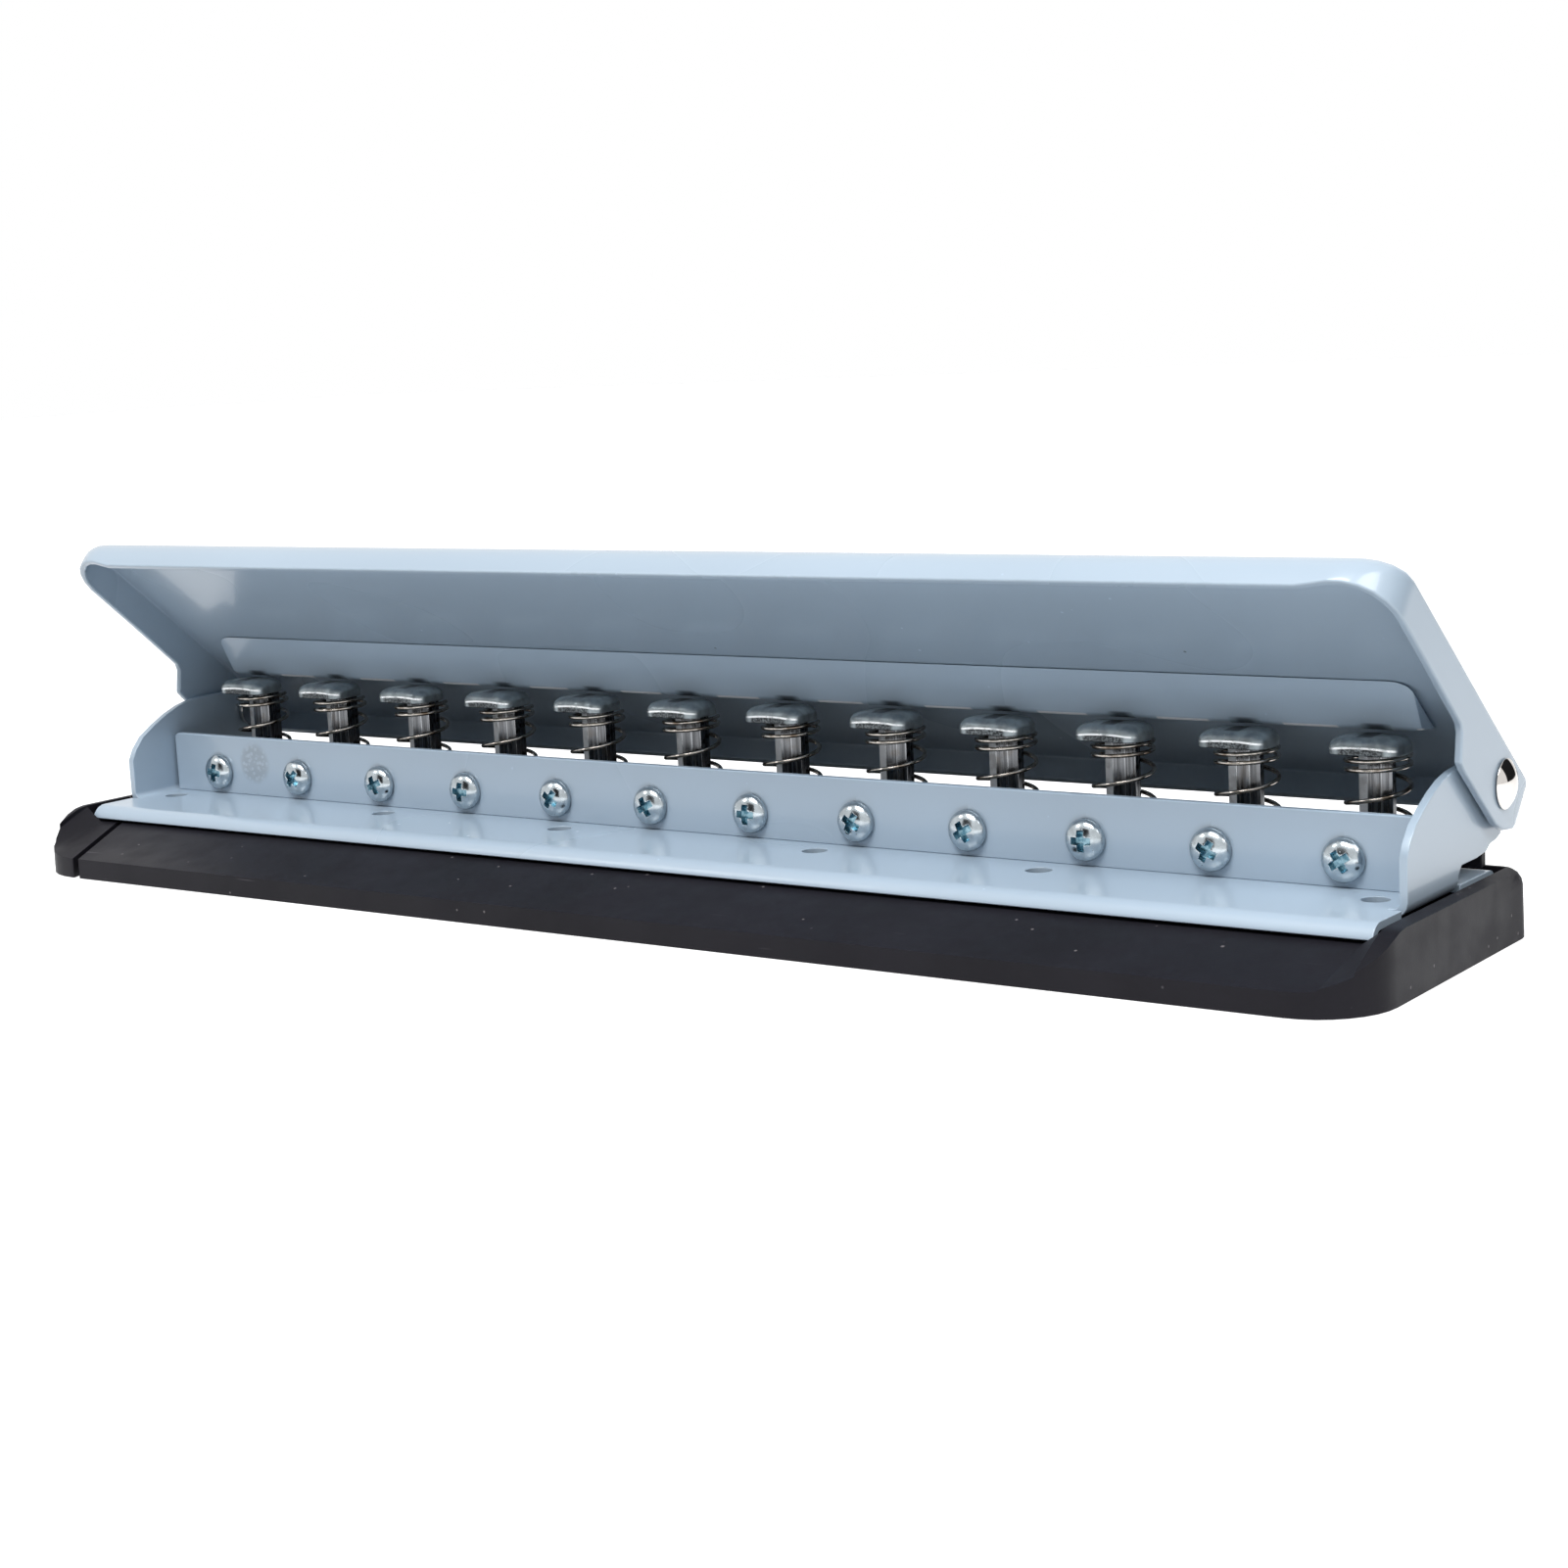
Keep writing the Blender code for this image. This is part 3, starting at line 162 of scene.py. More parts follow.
def length(name, description, default):
    return bpy.props.FloatProperty(name=name, description=description, default=default, min=0,
                                   unit="LENGTH", precision=5)


def colour(name, description, default):
    return bpy.props.FloatVectorProperty(name=name, description=description, default=default, size=3,
                                         min=0, max=1, subtype="COLOR")


class PunchFinishes(bpy.types.PropertyGroup):
    paint: colour("Paint", "Blue grey gloss paint of the sheet metal", (0.395, 0.487, 0.58))
    plastic: colour("Plastic", "Black satin plastic of the base and chip tray", (0.0082, 0.0076, 0.0108))
    zinc: colour("Zinc", "Bright zinc plate of the screws", (0.47, 0.52, 0.55))
    # The recess colour is painted shade with a teal painted reflection inside the crossed recess.
    recess: colour("Recess", "Tint of the plating inside the crossed recess", (0.05, 0.17, 0.23))
    chrome: colour("Chrome", "Polished rivet domes", (0.68, 0.65, 0.62))
    cap: colour("Heads", "Dull cast heads of the punches", (0.27, 0.305, 0.32))
    steel: colour("Punch steel", "Ground steel of the punches", (0.36, 0.37, 0.39))
    wire: colour("Wire", "Nickel plated wire of the springs", (0.56, 0.52, 0.47))
    inner: colour("Inner steel", "Oiled steel of the guide bar and die plate", (0.24, 0.25, 0.26))
    floor: colour("Floor", "Pale surface under the punch", (0.68, 0.69, 0.70))


class PunchSizes(bpy.types.PropertyGroup):
    sheet_edge: length("Sheet edge", "Rounding of the edges of the painted sheet", 0.0003)
    plate_foot: length("Plate foot", "How far the front plate's foot comes down towards the floor", 0.00087)
    handle_edge: length("Handle edge", "Rounding of the free edge of the handle", 0.0004)
    moulding_edge: length("Moulding edge", "Rounding of the edges of the plastic", 0.0006)
    bar_edge: length("Bar edge", "Rounding of the press bar's ends", 0.004)
    spring_wire: length("Spring wire", "Diameter of the spring wire", 0.00085)
    top_pitch: length("Top pitch", "Pitch of the close turns under a head", 0.0016)
    bottom_pitch: length("Bottom pitch", "Pitch of the last turn of a spring", 0.00125)
    screw_head_height: length("Screw head height", "Height of a screw's domed head", 0.0024)
    recess_depth: length("Recess depth", "Depth of the crossed recess", 0.0014)
    rivet_dome: length("Rivet dome", "Height of a rivet's dome", 0.0017)


# Shader maths

class Value:
    """An output socket with arithmetic: each operator adds a Math node."""

    def __init__(self, finish, socket):
        self.finish = finish
        self.socket = socket

    def sibling(self, output):
        """Another output of the same node."""
        return Value(self.finish, self.socket.node.outputs[output])

    def maths(self, operation, *values):
        return self.finish.node("ShaderNodeMath", {"operation": operation}, *values)

    def __add__(self, other):
        return self.maths("ADD", self, other)

    def __sub__(self, other):
        return self.maths("SUBTRACT", self, other)

    def __rsub__(self, other):
        return self.maths("SUBTRACT", other, self)

    def __mul__(self, other):
        return self.maths("MULTIPLY", self, other)

    def __truediv__(self, other):
        return self.maths("DIVIDE", self, other)

    def __rtruediv__(self, other):
        return self.maths("DIVIDE", other, self)

    def __lt__(self, other):
        return self.maths("LESS_THAN", self, other)

    def __gt__(self, other):
        return self.maths("GREATER_THAN", self, other)

    def __abs__(self):
        return self.maths("ABSOLUTE", self)

    def power(self, exponent):
        return self.maths("POWER", self, exponent)

    def wrap(self, high, low):
        return self.maths("WRAP", self, high, low)

    def at_most(self, other):
        return self.maths("MINIMUM", self, other)

    def at_least(self, other):
        return self.maths("MAXIMUM", self, other)

    __radd__ = __add__
    __rmul__ = __mul__


class Finish:
    """A procedural material on Object coordinates, built round a Principled shader."""

    def __init__(self, name, **constants):
        self.material = bpy.data.materials.new(name)
        self.material.use_nodes = True
        self.tree = self.material.node_tree
        self.shader = self.tree.nodes["Principled BSDF"]
        self.place = self.node("ShaderNodeTexCoord", {}, output="Object")
        for name, value in constants.items():
            self.shader.inputs[name.replace("_", " ")].default_value = value

    def node(self, kind, settings, *values, output=0, named=()):
        """Any node: its settings are set first, then the values or links of its sockets."""
        node = self.tree.nodes.new(kind)
        for key, value in settings.items():
            setattr(node, key, value)
        for socket, value in zip(node.inputs, values):
            self.feed(socket, value)
        for key, value in dict(named).items():
            self.feed(node.inputs[key], value)
        return Value(self, node.outputs[output])

    def feed(self, socket, value):
        if isinstance(value, Value):
            self.tree.links.new(value.socket, socket)
        elif isinstance(value, (tuple, list, Vector)) and socket.type == "RGBA":
            socket.default_value = (*tuple(value)[:3], 1)
        else:
            socket.default_value = value

    def put(self, **inputs):
        for name, value in inputs.items():
            self.feed(self.shader.inputs[name.replace("_", " ")], value)

    def noise(self, scale, detail=2.0, stretch=None):
        where = self.place
        if stretch:
            where = self.node("ShaderNodeVectorMath", {"operation": "MULTIPLY"}, where, stretch)
        named = {"Vector": where, "Scale": scale, "Detail": detail}
        return self.node("ShaderNodeTexNoise", {}, named=named)

    def cells(self, scale):
        """Distance from the middles of scattered cells."""
        named = {"Vector": self.place, "Scale": scale}
        return self.node("ShaderNodeTexVoronoi", {}, output="Distance", named=named)

    def ramp(self, value, low, high, start=0.0, end=1.0):
        """A smooth step from one number to another as the value goes from low to high."""
        settings = {"interpolation_type": "SMOOTHSTEP"}
        return self.node("ShaderNodeMapRange", settings, value, low, high, start, end)

    def mix(self, factor, one, other):
        named = {0: factor, 6: one, 7: other}
        return self.node("ShaderNodeMix", {"data_type": "RGBA"}, output=2, named=named)

    def axes(self):
        across = self.node("ShaderNodeSeparateXYZ", {}, self.place)
        return across, across.sibling(1), across.sibling(2)

    def mask(self, name):
        return self.node("ShaderNodeAttribute", {"attribute_name": name}, output="Fac")

    def specks(self, scale, size, share):
        """Scattered dots: a share of the cells of the given scale holds one, of a size in cells."""
        distance = self.cells(scale)
        chance = self.node("ShaderNodeSeparateColor", {}, distance.sibling("Color"))
        return self.ramp(distance, size, size * 0.5) * (chance > 1 - share)

    def spot(self, centre, reach):
        """A soft blot round a point, with its own reach along each axis."""
        total = None
        for axis, middle, size in zip(self.axes(), centre, reach):
            if size:
                term = ((axis - middle) / size).power(2)
                total = term if total is None else total + term
        return self.ramp(total, 1.0, 0.35)

    def bump(self, height, strength, distance, under=None):
        named = {"Height": height, "Strength": strength, "Distance": distance}
        if under:
            named["Normal"] = under
        return self.node("ShaderNodeBump", {}, named=named)


def shade_of(tone, factor):
    return tuple(min(1.0, part * factor) for part in tone)


def finishes():
    return bpy.context.scene.punch_finishes


def sizes():
    return bpy.context.scene.punch_sizes


# Finishes of this punch

def paint_base(finish, lighter=1.0):
    """The even part of the paint: slow shifts of tone, dust, rubbed edges and a fine orange peel."""
    tone = shade_of(finishes().paint, lighter)
    edge = finish.mask("edge") * finish.ramp(finish.noise(160, 3), 0.35, 0.7)
    bands = finish.noise(26, 0, (1, 0.3, 0.1))
    body = finish.mix(bands, shade_of(tone, 0.955), shade_of(tone, 1.045))
    body = finish.mix(edge * 0.3, body, shade_of(tone, 1.15))
    dust = finish.specks(420, 0.13, 0.03)
    body = finish.mix(dust * 0.35, body, shade_of(tone, 1.4))
    grime = finish.specks(130, 0.05, 0.05)
    body = finish.mix(grime * 0.8, body, shade_of(tone, 0.22))
    rough = finish.noise(24, 0) * 0.06 + 0.25 + edge * 0.12 + dust * 0.3
    peel = finish.bump(finish.noise(700, 2), 0.03, 0.0001)
    return body, rough, finish.bump(dust + grime, 0.25, 0.00005, peel)


def plain_paint():
    finish = Finish("blue_grey_paint_sheet", Coat_Weight=0.35, Coat_Roughness=0.06, IOR=1.5)
    body, rough, normal = paint_base(finish)
    finish.put(Base_Color=body, Roughness=rough, Normal=normal)
    return finish.material


def plate_paint():
    """Paint of the front plate, with a rubbed, mottled patch between the first two screws, painted shade
    round each screw head and a painted highlight along the top edge.
    """
    finish = Finish("blue_grey_paint_plate", Coat_Weight=0.35, Coat_Roughness=0.07, IOR=1.5)
    body, rough, normal = paint_base(finish)
    tone = tuple(finishes().paint)
    patch = finish.spot(WORN_PATCH, WORN_PATCH_REACH)
    rubbed = patch * finish.ramp(finish.cells(950), 0.25, 0.55)
    body = finish.mix(rubbed * 0.55, body, shade_of(tone, 0.62))
    body = finish.mix(patch * 0.2, body, PRIMER)
    across, _, up = finish.axes()
    from_screw = across.wrap(PITCH / 2, -PITCH / 2) - PITCH / 2
    away = (abs(from_screw).power(2) + (up - SCREW_ROW).power(2)).power(0.5)
    # Painted shade: a darker ring round each screw head.
    screw_shade_rings = finish.ramp(away, 0.0052, 0.0040)
    body = finish.mix(screw_shade_rings * 0.35, body, shade_of(tone, 0.6))
    # Painted highlight: a lighter, broken line along the top edge of the plate.
    top = finish.ramp(up, PLATE_TOP - 0.00025, PLATE_TOP) * finish.ramp(finish.noise(90, 2), 0.3, 0.55, 0.4)
    body = finish.mix(top * 0.6, body, shade_of(tone, 1.6))
    finish.put(Base_Color=body, Roughness=rough + rubbed * 0.25,
               Normal=finish.bump(rubbed, 0.4, 0.00008, normal))
    return finish.material


def bar_paint():
    """Paint of the press bar, made lighter as painted light: dark marks of oil and painted shade where it
    meets each head, painted highlight dashes between them.
    """
    finish = Finish("blue_grey_paint_bar", Coat_Weight=0.4, Coat_Roughness=0.06, IOR=1.5)
    # Painted light: the bar's paint is a lighter copy of the sheet's paint.
    body, rough, normal = paint_base(finish, 1.12)
    places = [vert.co for vert in frame["nodes"]["press_bar"].data.vertices]
    crest = min(places, key=lambda place: place.z + place.y * 0.3)
    across = finish.axes()[0]
    from_gap = abs(across.wrap(PITCH / 2, -PITCH / 2))
    ragged = finish.noise(300, 3) * 0.0016
    under = finish.spot((0, crest.y, crest.z), (0, 0.0045, 0.0016))
    # Dark marks on the bar above each head: oil where the heads touch, and painted shade between the bar
    # and the heads.
    oil_and_shade = under * finish.ramp(PITCH / 2 - from_gap - ragged, 0.0028, 0)
    body = finish.mix(oil_and_shade * 0.75, body, OIL_AND_SHADE)
    # Painted highlight: thin bright dashes along the bar's lowest edge between the heads.
    line = finish.spot((0, crest.y - 0.0006, crest.z + 0.0003), (0, 0.0013, 0.0004))
    crest_highlight = line * finish.ramp(from_gap, 0.0056, 0.005)
    body = finish.mix(crest_highlight, body, CREST_HIGHLIGHT)
    finish.put(Base_Color=body, Roughness=rough - oil_and_shade * 0.1, Normal=normal)
    return finish.material


def black_plastic():
    """Satin moulded plastic with a fine grain, dust and short pale scratches."""
    finish = Finish("black_plastic_moulded", IOR=1.45, Specular_IOR_Level=0.18)
    tone = tuple(finishes().plastic)
    blotch = finish.ramp(finish.noise(35, 4), 0.3, 0.7)
    body = finish.mix(blotch, shade_of(tone, 0.85), shade_of(tone, 1.25))
    edge = finish.mask("edge") * finish.ramp(finish.noise(200, 3), 0.4, 0.7)
    body = finish.mix(edge * 0.4, body, shade_of(tone, 2.6))
    dust = (finish.specks(420, 0.15, 0.06) + finish.specks(190, 0.1, 0.06)).at_most(1)
    body = finish.mix(dust * 0.5, body, PALE_DUST)
    nicks = finish.specks(260, 0.09, 0.03)
    scratch = finish.ramp(finish.noise(900, 1, (0.05, 1, 1)), 0.72, 0.76)
    scratch = scratch * finish.ramp(finish.noise(70, 1), 0.55, 0.7)
    body = finish.mix((scratch * 0.25 + nicks * 0.3).at_most(1), body, PALE_SCRATCH)
    rough = finish.ramp(finish.noise(90, 4), 0.3, 0.7, 0.44, 0.56) + dust * 0.2 - edge * 0.08
    grain = finish.bump(finish.noise(2600, 2), 0.12, 0.00008)
    finish.put(Base_Color=body, Roughness=rough, Normal=finish.bump(dust, 0.3, 0.00006, grain))
    return finish.material


def zinc_plate():
    """Bright zinc plate with fine pits, and painted shade with a teal painted reflection in the recess."""
    finish = Finish("zinc_plate_bright", Metallic=1.0)
    tone = tuple(finishes().zinc)
    blotch = finish.ramp(finish.noise(700, 3), 0.3, 0.7)
    body = finish.mix(blotch, shade_of(tone, 0.86), shade_of(tone, 1.08))
    # Painted shade with a teal painted reflection inside the crossed recess.
    deep = finish.mask("recess")
    recess_shade = finish.mix(finish.ramp(finish.noise(900, 2), 0.35, 0.65), tuple(finishes().recess), PALE_RECESS_REFLECTION)
    body = finish.mix(deep * 0.9, body, recess_shade)
    pits = finish.specks(1500, 0.3, 0.12)
    body = finish.mix(pits * 0.3, body, ZINC_PIT)
    rough = finish.ramp(finish.noise(420, 3), 0.3, 0.7, 0.13, 0.26) + deep * 0.08 + pits * 0.1
    dents = finish.bump(finish.noise(600, 3), 0.18, 0.0001)
    finish.put(Base_Color=body, Roughness=rough, Normal=finish.bump(pits, 0.3, 0.00004, dents))
    return finish.material


def polished_chrome():
    finish = Finish("chrome_dome", Metallic=1.0)
    tone = tuple(finishes().chrome)
    haze = finish.ramp(finish.noise(240, 4), 0.45, 0.75)
    body = finish.mix(haze * 0.6, tone, shade_of(tone, 0.86))
    specks = finish.specks(700, 0.14, 0.05)
    body = finish.mix(specks * 0.4, body, CHROME_SPECK)
    finish.put(Base_Color=body, Roughness=haze * 0.06 + specks * 0.2 + 0.05,
               Normal=finish.bump(finish.noise(130, 2), 0.03, 0.0002))
    return finish.material


def cast_cap():
    """Dull grey cast heads: a mottled skin, a thin painted highlight arch above a darker band, a dark mark
    on top.
    """
    finish = Finish("dull_cast_steel", Metallic=0.7)
    tone = tuple(finishes().cap)
    low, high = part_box("head_01")
    blotch = finish.ramp(finish.noise(420, 4), 0.32, 0.68)
    body = finish.mix(blotch, shade_of(tone, 0.8), shade_of(tone, 1.3))
    across, depth, up = finish.axes()
    from_middle = PITCH / 2 - abs(across.wrap(PITCH / 2, -PITCH / 2))
    arch = low.z + 0.0014 - (from_middle / 0.0067).power(2) * 0.0005
    front = finish.ramp(depth, low.y + 0.0016, low.y + 0.0007)
    # A darker band across the front of each head, below the arch.
    dark_band = front * finish.ramp(up - arch, 0, -0.0002) * finish.ramp(from_middle, 0.0046, 0.0038)
    grain = finish.ramp(finish.noise(2300, 2), 0.35, 0.6, 0.5)
    body = finish.mix(dark_band * grain, body, DARK_BAND_CAST)
    # Painted highlight: a thin bright arch across the front of each head.
    arch_highlight = front * finish.ramp(abs(up - arch), 0.00026, 0.0001)
    arch_highlight = arch_highlight * finish.ramp(finish.noise(600, 2), 0.3, 0.5, 0.3)
    body = finish.mix(arch_highlight, body, ARCH_HIGHLIGHT)
    notch = finish.ramp(from_middle, 0.0018, 0.0012) * finish.ramp(depth, HEAD_BACK, HEAD_BACK + 0.001)
    notch = notch * (up > high.z - 0.0011)
    body = finish.mix(notch * 0.85, body, DARK_CAST)
    grit = finish.specks(1400, 0.25, 0.08)
    body = finish.mix(grit * 0.5, body, CAST_GRIT)
    rough = finish.ramp(finish.noise(350, 3), 0.3, 0.7, 0.3, 0.5) - arch_highlight * 0.1
    lumps = finish.bump(finish.noise(500, 4), 0.3, 0.00025)
    finish.put(Base_Color=body, Roughness=rough, Normal=finish.bump(grit, 0.4, 0.00005, lumps))
    return finish.material


def ground_punch_steel():
    """Punch steel ground along its length, with dark oil in the middle, a painted highlight on the facet
    that faces front and left, and painted highlights on its edges.
    """
    finish = Finish("punch_steel_ground", Metallic=1.0)
    tone = tuple(finishes().steel)
    streak = finish.ramp(finish.noise(1900, 3, (1, 1, 0.03)), 0.32, 0.68)
    body = finish.mix(streak, shade_of(tone, 0.22), shade_of(tone, 0.55))
    # Painted highlight: the faces that face front and left are made bright and less metallic.
    facet_highlight = finish.mask("facet_highlight")
    body = finish.mix(facet_highlight * 0.9, body, FACET_HIGHLIGHT)
    # Painted highlight along the rounded edges.
    body = finish.mix(finish.mask("edge") * 0.35, body, EDGE_HIGHLIGHT)
    stain = finish.ramp(finish.noise(330, 3), 0.5, 0.7)
    body = finish.mix(stain * 0.35, body, OIL_STAIN)
    rough = finish.ramp(finish.noise(1500, 2, (1, 1, 0.05)), 0.3, 0.7, 0.18, 0.32) + facet_highlight * 0.2
    finish.put(Base_Color=body, Roughness=rough, Metallic=1 - facet_highlight * 0.9,
               Normal=finish.bump(streak, 0.12, 0.00005))
    return finish.material


def nickel_wire():
    """Nickel plated wire, browned in places and drawn along its length."""
    finish = Finish("spring_wire_nickel", Metallic=1.0)
    tone = tuple(finishes().wire)
    brown = finish.ramp(finish.noise(260, 3), 0.5, 0.7)
    body = finish.mix(brown, tone, BROWNED_WIRE)
    dull = finish.ramp(finish.noise(1400, 2), 0.4, 0.7)
    body = finish.mix(dull * 0.4, body, DULL_WIRE)
    finish.put(Base_Color=body, Roughness=dull * 0.06 + 0.1,
               Normal=finish.bump(finish.noise(2200, 2), 0.08, 0.00004))
    return finish.material


def oiled_steel():
    finish = Finish("inner_steel_oiled", Metallic=1.0)
    tone = tuple(finishes().inner)
    streak = finish.ramp(finish.noise(700, 3, (0.04, 1, 1)), 0.3, 0.7)
    body = finish.mix(streak, shade_of(tone, 0.7), shade_of(tone, 1.25))
    rust = finish.ramp(finish.noise(90, 4), 0.6, 0.75)
    body = finish.mix(rust * 0.4, body, RUST)
    rough = finish.ramp(finish.noise(300, 3), 0.3, 0.7, 0.28, 0.45) + rust * 0.2
    finish.put(Base_Color=body, Roughness=rough, Normal=finish.bump(streak, 0.1, 0.00005))
    return finish.material


made_finishes = {}


def made(maker):
    """The material of a finish, which is made once and then shared."""
    if maker not in made_finishes:
        made_finishes[maker] = maker()
    return made_finishes[maker]


# Pieces

def mesh_from(name, shape):
    mesh = bpy.data.meshes.new(name)
    shape.to_mesh(mesh)
    shape.free()
    return mesh


def added(name, data):
    """A new object in the scene."""
    item = bpy.data.objects.new(name, data)
    bpy.context.scene.collection.objects.link(item)
    return item


def add_piece(name, shape, finish, body, slot, *nodes, flat_wins=True):
    """A finished piece at the origin, with its place in its mesh, that stands for CAD nodes."""
    mesh = mesh_from(name, shape)
    mesh.shade_smooth()
    mesh.materials.clear()
    mesh.materials.append(made(finish))
    piece = added(name, mesh)
    if flat_wins:
        modifier = piece.modifiers.new("even shading", "WEIGHTED_NORMAL")
        modifier.keep_sharp = True
    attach(piece, body)
    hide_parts(*nodes)
    return piece


def merged(node):
    """A copy of a CAD node's mesh, its loose triangles joined into flat faces."""
    shape = bmesh.new()
    shape.from_mesh(frame["nodes"][node].data)
    bmesh.ops.remove_doubles(shape, verts=shape.verts, dist=MERGE)
    bmesh.ops.dissolve_limit(shape, angle_limit=math.radians(0.6), verts=shape.verts, edges=shape.edges)
    return shape


def rounded(shape, edges, width, segments):
    """Bevels edges, and gives the new faces."""
    return bmesh.ops.bevel(shape, geom=edges, offset=width, offset_type="OFFSET", segments=segments,
                           profile=0.5, affect="EDGES", clamp_overlap=True, material=-1)["faces"]


def soften(shape, width, segments, sharp=35):
    """Rounds the sharp edges, and marks the new faces so that the finish can rub them or give them a
    painted highlight.
    """
    edge = shape.loops.layers.float.get("edge") or shape.loops.layers.float.new("edge")
    edges = [e for e in shape.edges if e.is_manifold and e.calc_face_angle(0) > math.radians(sharp)]
    for face in rounded(shape, edges, width, segments):
        for loop in face.loops:
            loop[edge] = 1
    return shape


def refined(name, node, finish, body, slot, width, segments=3, sharp=35):
    return add_piece(name, soften(merged(node), width, segments, sharp), finish, body, slot, node)


def row_of_edges(shape, points):
    """An open line of edges through (X, Z) points in the plane of Y zero."""
    verts = [shape.verts.new((x, 0, z)) for x, z in points]
    return verts + [shape.edges.new(pair) for pair in zip(verts, verts[1:])]


def turned(points):
    """A closed solid turned round Z from (radius, height) points that start and end on the axis."""
    shape = bmesh.new()
    bmesh.ops.spin(shape, geom=row_of_edges(shape, points), cent=(0, 0, 0), axis=UP, angle=math.tau,
                   steps=TURNED_STEPS, use_merge=True, use_duplicate=False)
    bmesh.ops.remove_doubles(shape, verts=shape.verts, dist=MERGE)
    bmesh.ops.recalc_face_normals(shape, faces=shape.faces)
    return shape


def placed(shape, centre, turn):
    """Turns a shape made round the origin and sets it in its place."""
    move = Matrix.Translation(centre) @ turn.to_matrix().to_4x4()
    bmesh.ops.transform(shape, matrix=move, verts=shape.verts)
    return shape


def ellipse(radius, height, steps, base=0.0):
    """Points of a dome from its top to its rim."""
    return [(radius * math.sin(math.pi / 2 * i / steps), base + height * math.cos(math.pi / 2 * i / steps))
            for i in range(steps + 1)]


def cap_points(radius, height, steps, base):
    """Points of a cap of a sphere from its top to its rim."""
    ball = (radius ** 2 + height ** 2) / (2 * height)
    reach = math.asin(radius / ball)
    return [(ball * math.sin(reach * i / steps), base + height - ball * (1 - math.cos(reach * i / steps)))
            for i in range(steps + 1)]


def cut_away(shape, tool):
    """The first shape without the second, by an exact Boolean."""
    blank = added("blank", mesh_from("blank", shape))
    cutter = added("cutter", mesh_from("cutter", tool))
    modifier = blank.modifiers.new("cut", "BOOLEAN")
    modifier.object = cutter
    modifier.operation = "DIFFERENCE"
    modifier.solver = "EXACT"
    modifier.use_self = True
    cut = blank.evaluated_get(bpy.context.evaluated_depsgraph_get())
    result = bmesh.new()
    result.from_mesh(cut.to_mesh())
    cut.to_mesh_clear()
    for item in (blank, cutter):
        mesh = item.data
        bpy.data.objects.remove(item)
        bpy.data.meshes.remove(mesh)
    return result


class PUNCH_OT_mouldings(bpy.types.Operator):
    """Black base and chip tray, with rounded edges"""
    bl_idname = "punch.mouldings"
    bl_label = "Base and chip tray"

    def execute(self, context):
        width = sizes().moulding_edge
        refined("base_moulding", "base", black_plastic, "frame", "black_plastic", width)
        refined("chip_tray_moulding", "chip_tray", black_plastic, "chip_tray", "black_plastic", width)
        return {"FINISHED"}


class PUNCH_OT_chassis(bpy.types.Operator):
    """Painted chassis sheet with its lip and ears, and the strip behind it"""
    bl_idname = "punch.chassis"
    bl_label = "Chassis"

    def execute(self, context):
        width = sizes().sheet_edge
        refined("chassis_sheet", "chassis", plain_paint, "frame", "blue_grey_paint", width, 2)
        refined("rear_strip_bar", "rear_strip", black_plastic, "frame", "black_plastic", width)
        return {"FINISHED"}


class PUNCH_OT_front_plate(bpy.types.Operator):
    """Painted front plate behind the screws"""
    bl_idname = "punch.front_plate"
    bl_label = "Front plate"

    def execute(self, context):
        shape = merged("front_plate")
        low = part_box("front_plate")[0].z
        foot = [vert for vert in shape.verts if vert.co.z < low + sizes().sheet_edge]
        bmesh.ops.translate(shape, vec=(0, 0, -sizes().plate_foot), verts=foot)
        soften(shape, sizes().sheet_edge / 2, 2)
        add_piece("front_plate_sheet", shape, plate_paint, "frame", "blue_grey_paint", "front_plate")
        return {"FINISHED"}


class PUNCH_OT_inner_steel(bpy.types.Operator):
    """Finish of the guide bar and the die plate, whose solids are kept"""
    bl_idname = "punch.inner_steel"
    bl_label = "Guide bar and die plate"

    def execute(self, context):
        for name in ("guide_bar", "die_plate"):
            frame["nodes"][name].material_slots[0].material = made(oiled_steel)
        return {"FINISHED"}


class PUNCH_OT_handle(bpy.types.Operator):
    """Drawn handle with a rounded free edge"""
    bl_idname = "punch.handle"
    bl_label = "Handle"

    def execute(self, context):
        width = sizes().handle_edge
        refined("handle_sheet", "handle", plain_paint, "handle", "blue_grey_paint", width, sharp=42)
        return {"FINISHED"}


class PUNCH_OT_press_bar(bpy.types.Operator):
    """Press bar with ends that are round in plan"""
    bl_idname = "punch.press_bar"
    bl_label = "Press bar"

    def execute(self, context):
        shape = merged("press_bar")
        for side in (-1, 1):
            self.round_end(shape, side)
        for edge in shape.edges:
            edge.smooth = edge.calc_face_angle(0) < math.radians(BAR_SHARP)
        add_piece("press_bar_form", shape, bar_paint, "handle", "blue_grey_paint", "press_bar")
        return {"FINISHED"}

    def round_end(self, shape, side):
        """Draws an end of the bar in by the steps of a quarter turn, so that it is round in plan."""
        radius = sizes().bar_edge
        facing = [face for face in shape.faces if face.normal.x * side > 0.99]
        end = next(face for face in facing if face.calc_area() > 0.00001)
        middle = end.calc_center_median()
        bmesh.ops.translate(shape, vec=(-side * radius, 0, 0), verts=end.verts)
        step = math.pi / 2 / BAR_END_STEPS
        last = 1.0
        for i in range(1, BAR_END_STEPS + 1):
            angle = step * i
            end = bmesh.ops.extrude_discrete_faces(shape, faces=[end])["faces"][0]
            factor = 1 - BAR_END_DRAW * (1 - math.cos(angle))
            out = radius * (math.sin(angle) - math.sin(angle - step))
            bmesh.ops.translate(shape, vec=(-middle.x, -middle.y, -middle.z), verts=end.verts)
            bmesh.ops.scale(shape, vec=(1, factor / last, factor / last), verts=end.verts)
            bmesh.ops.translate(shape, vec=(middle.x + side * out, middle.y, middle.z), verts=end.verts)
            last = factor


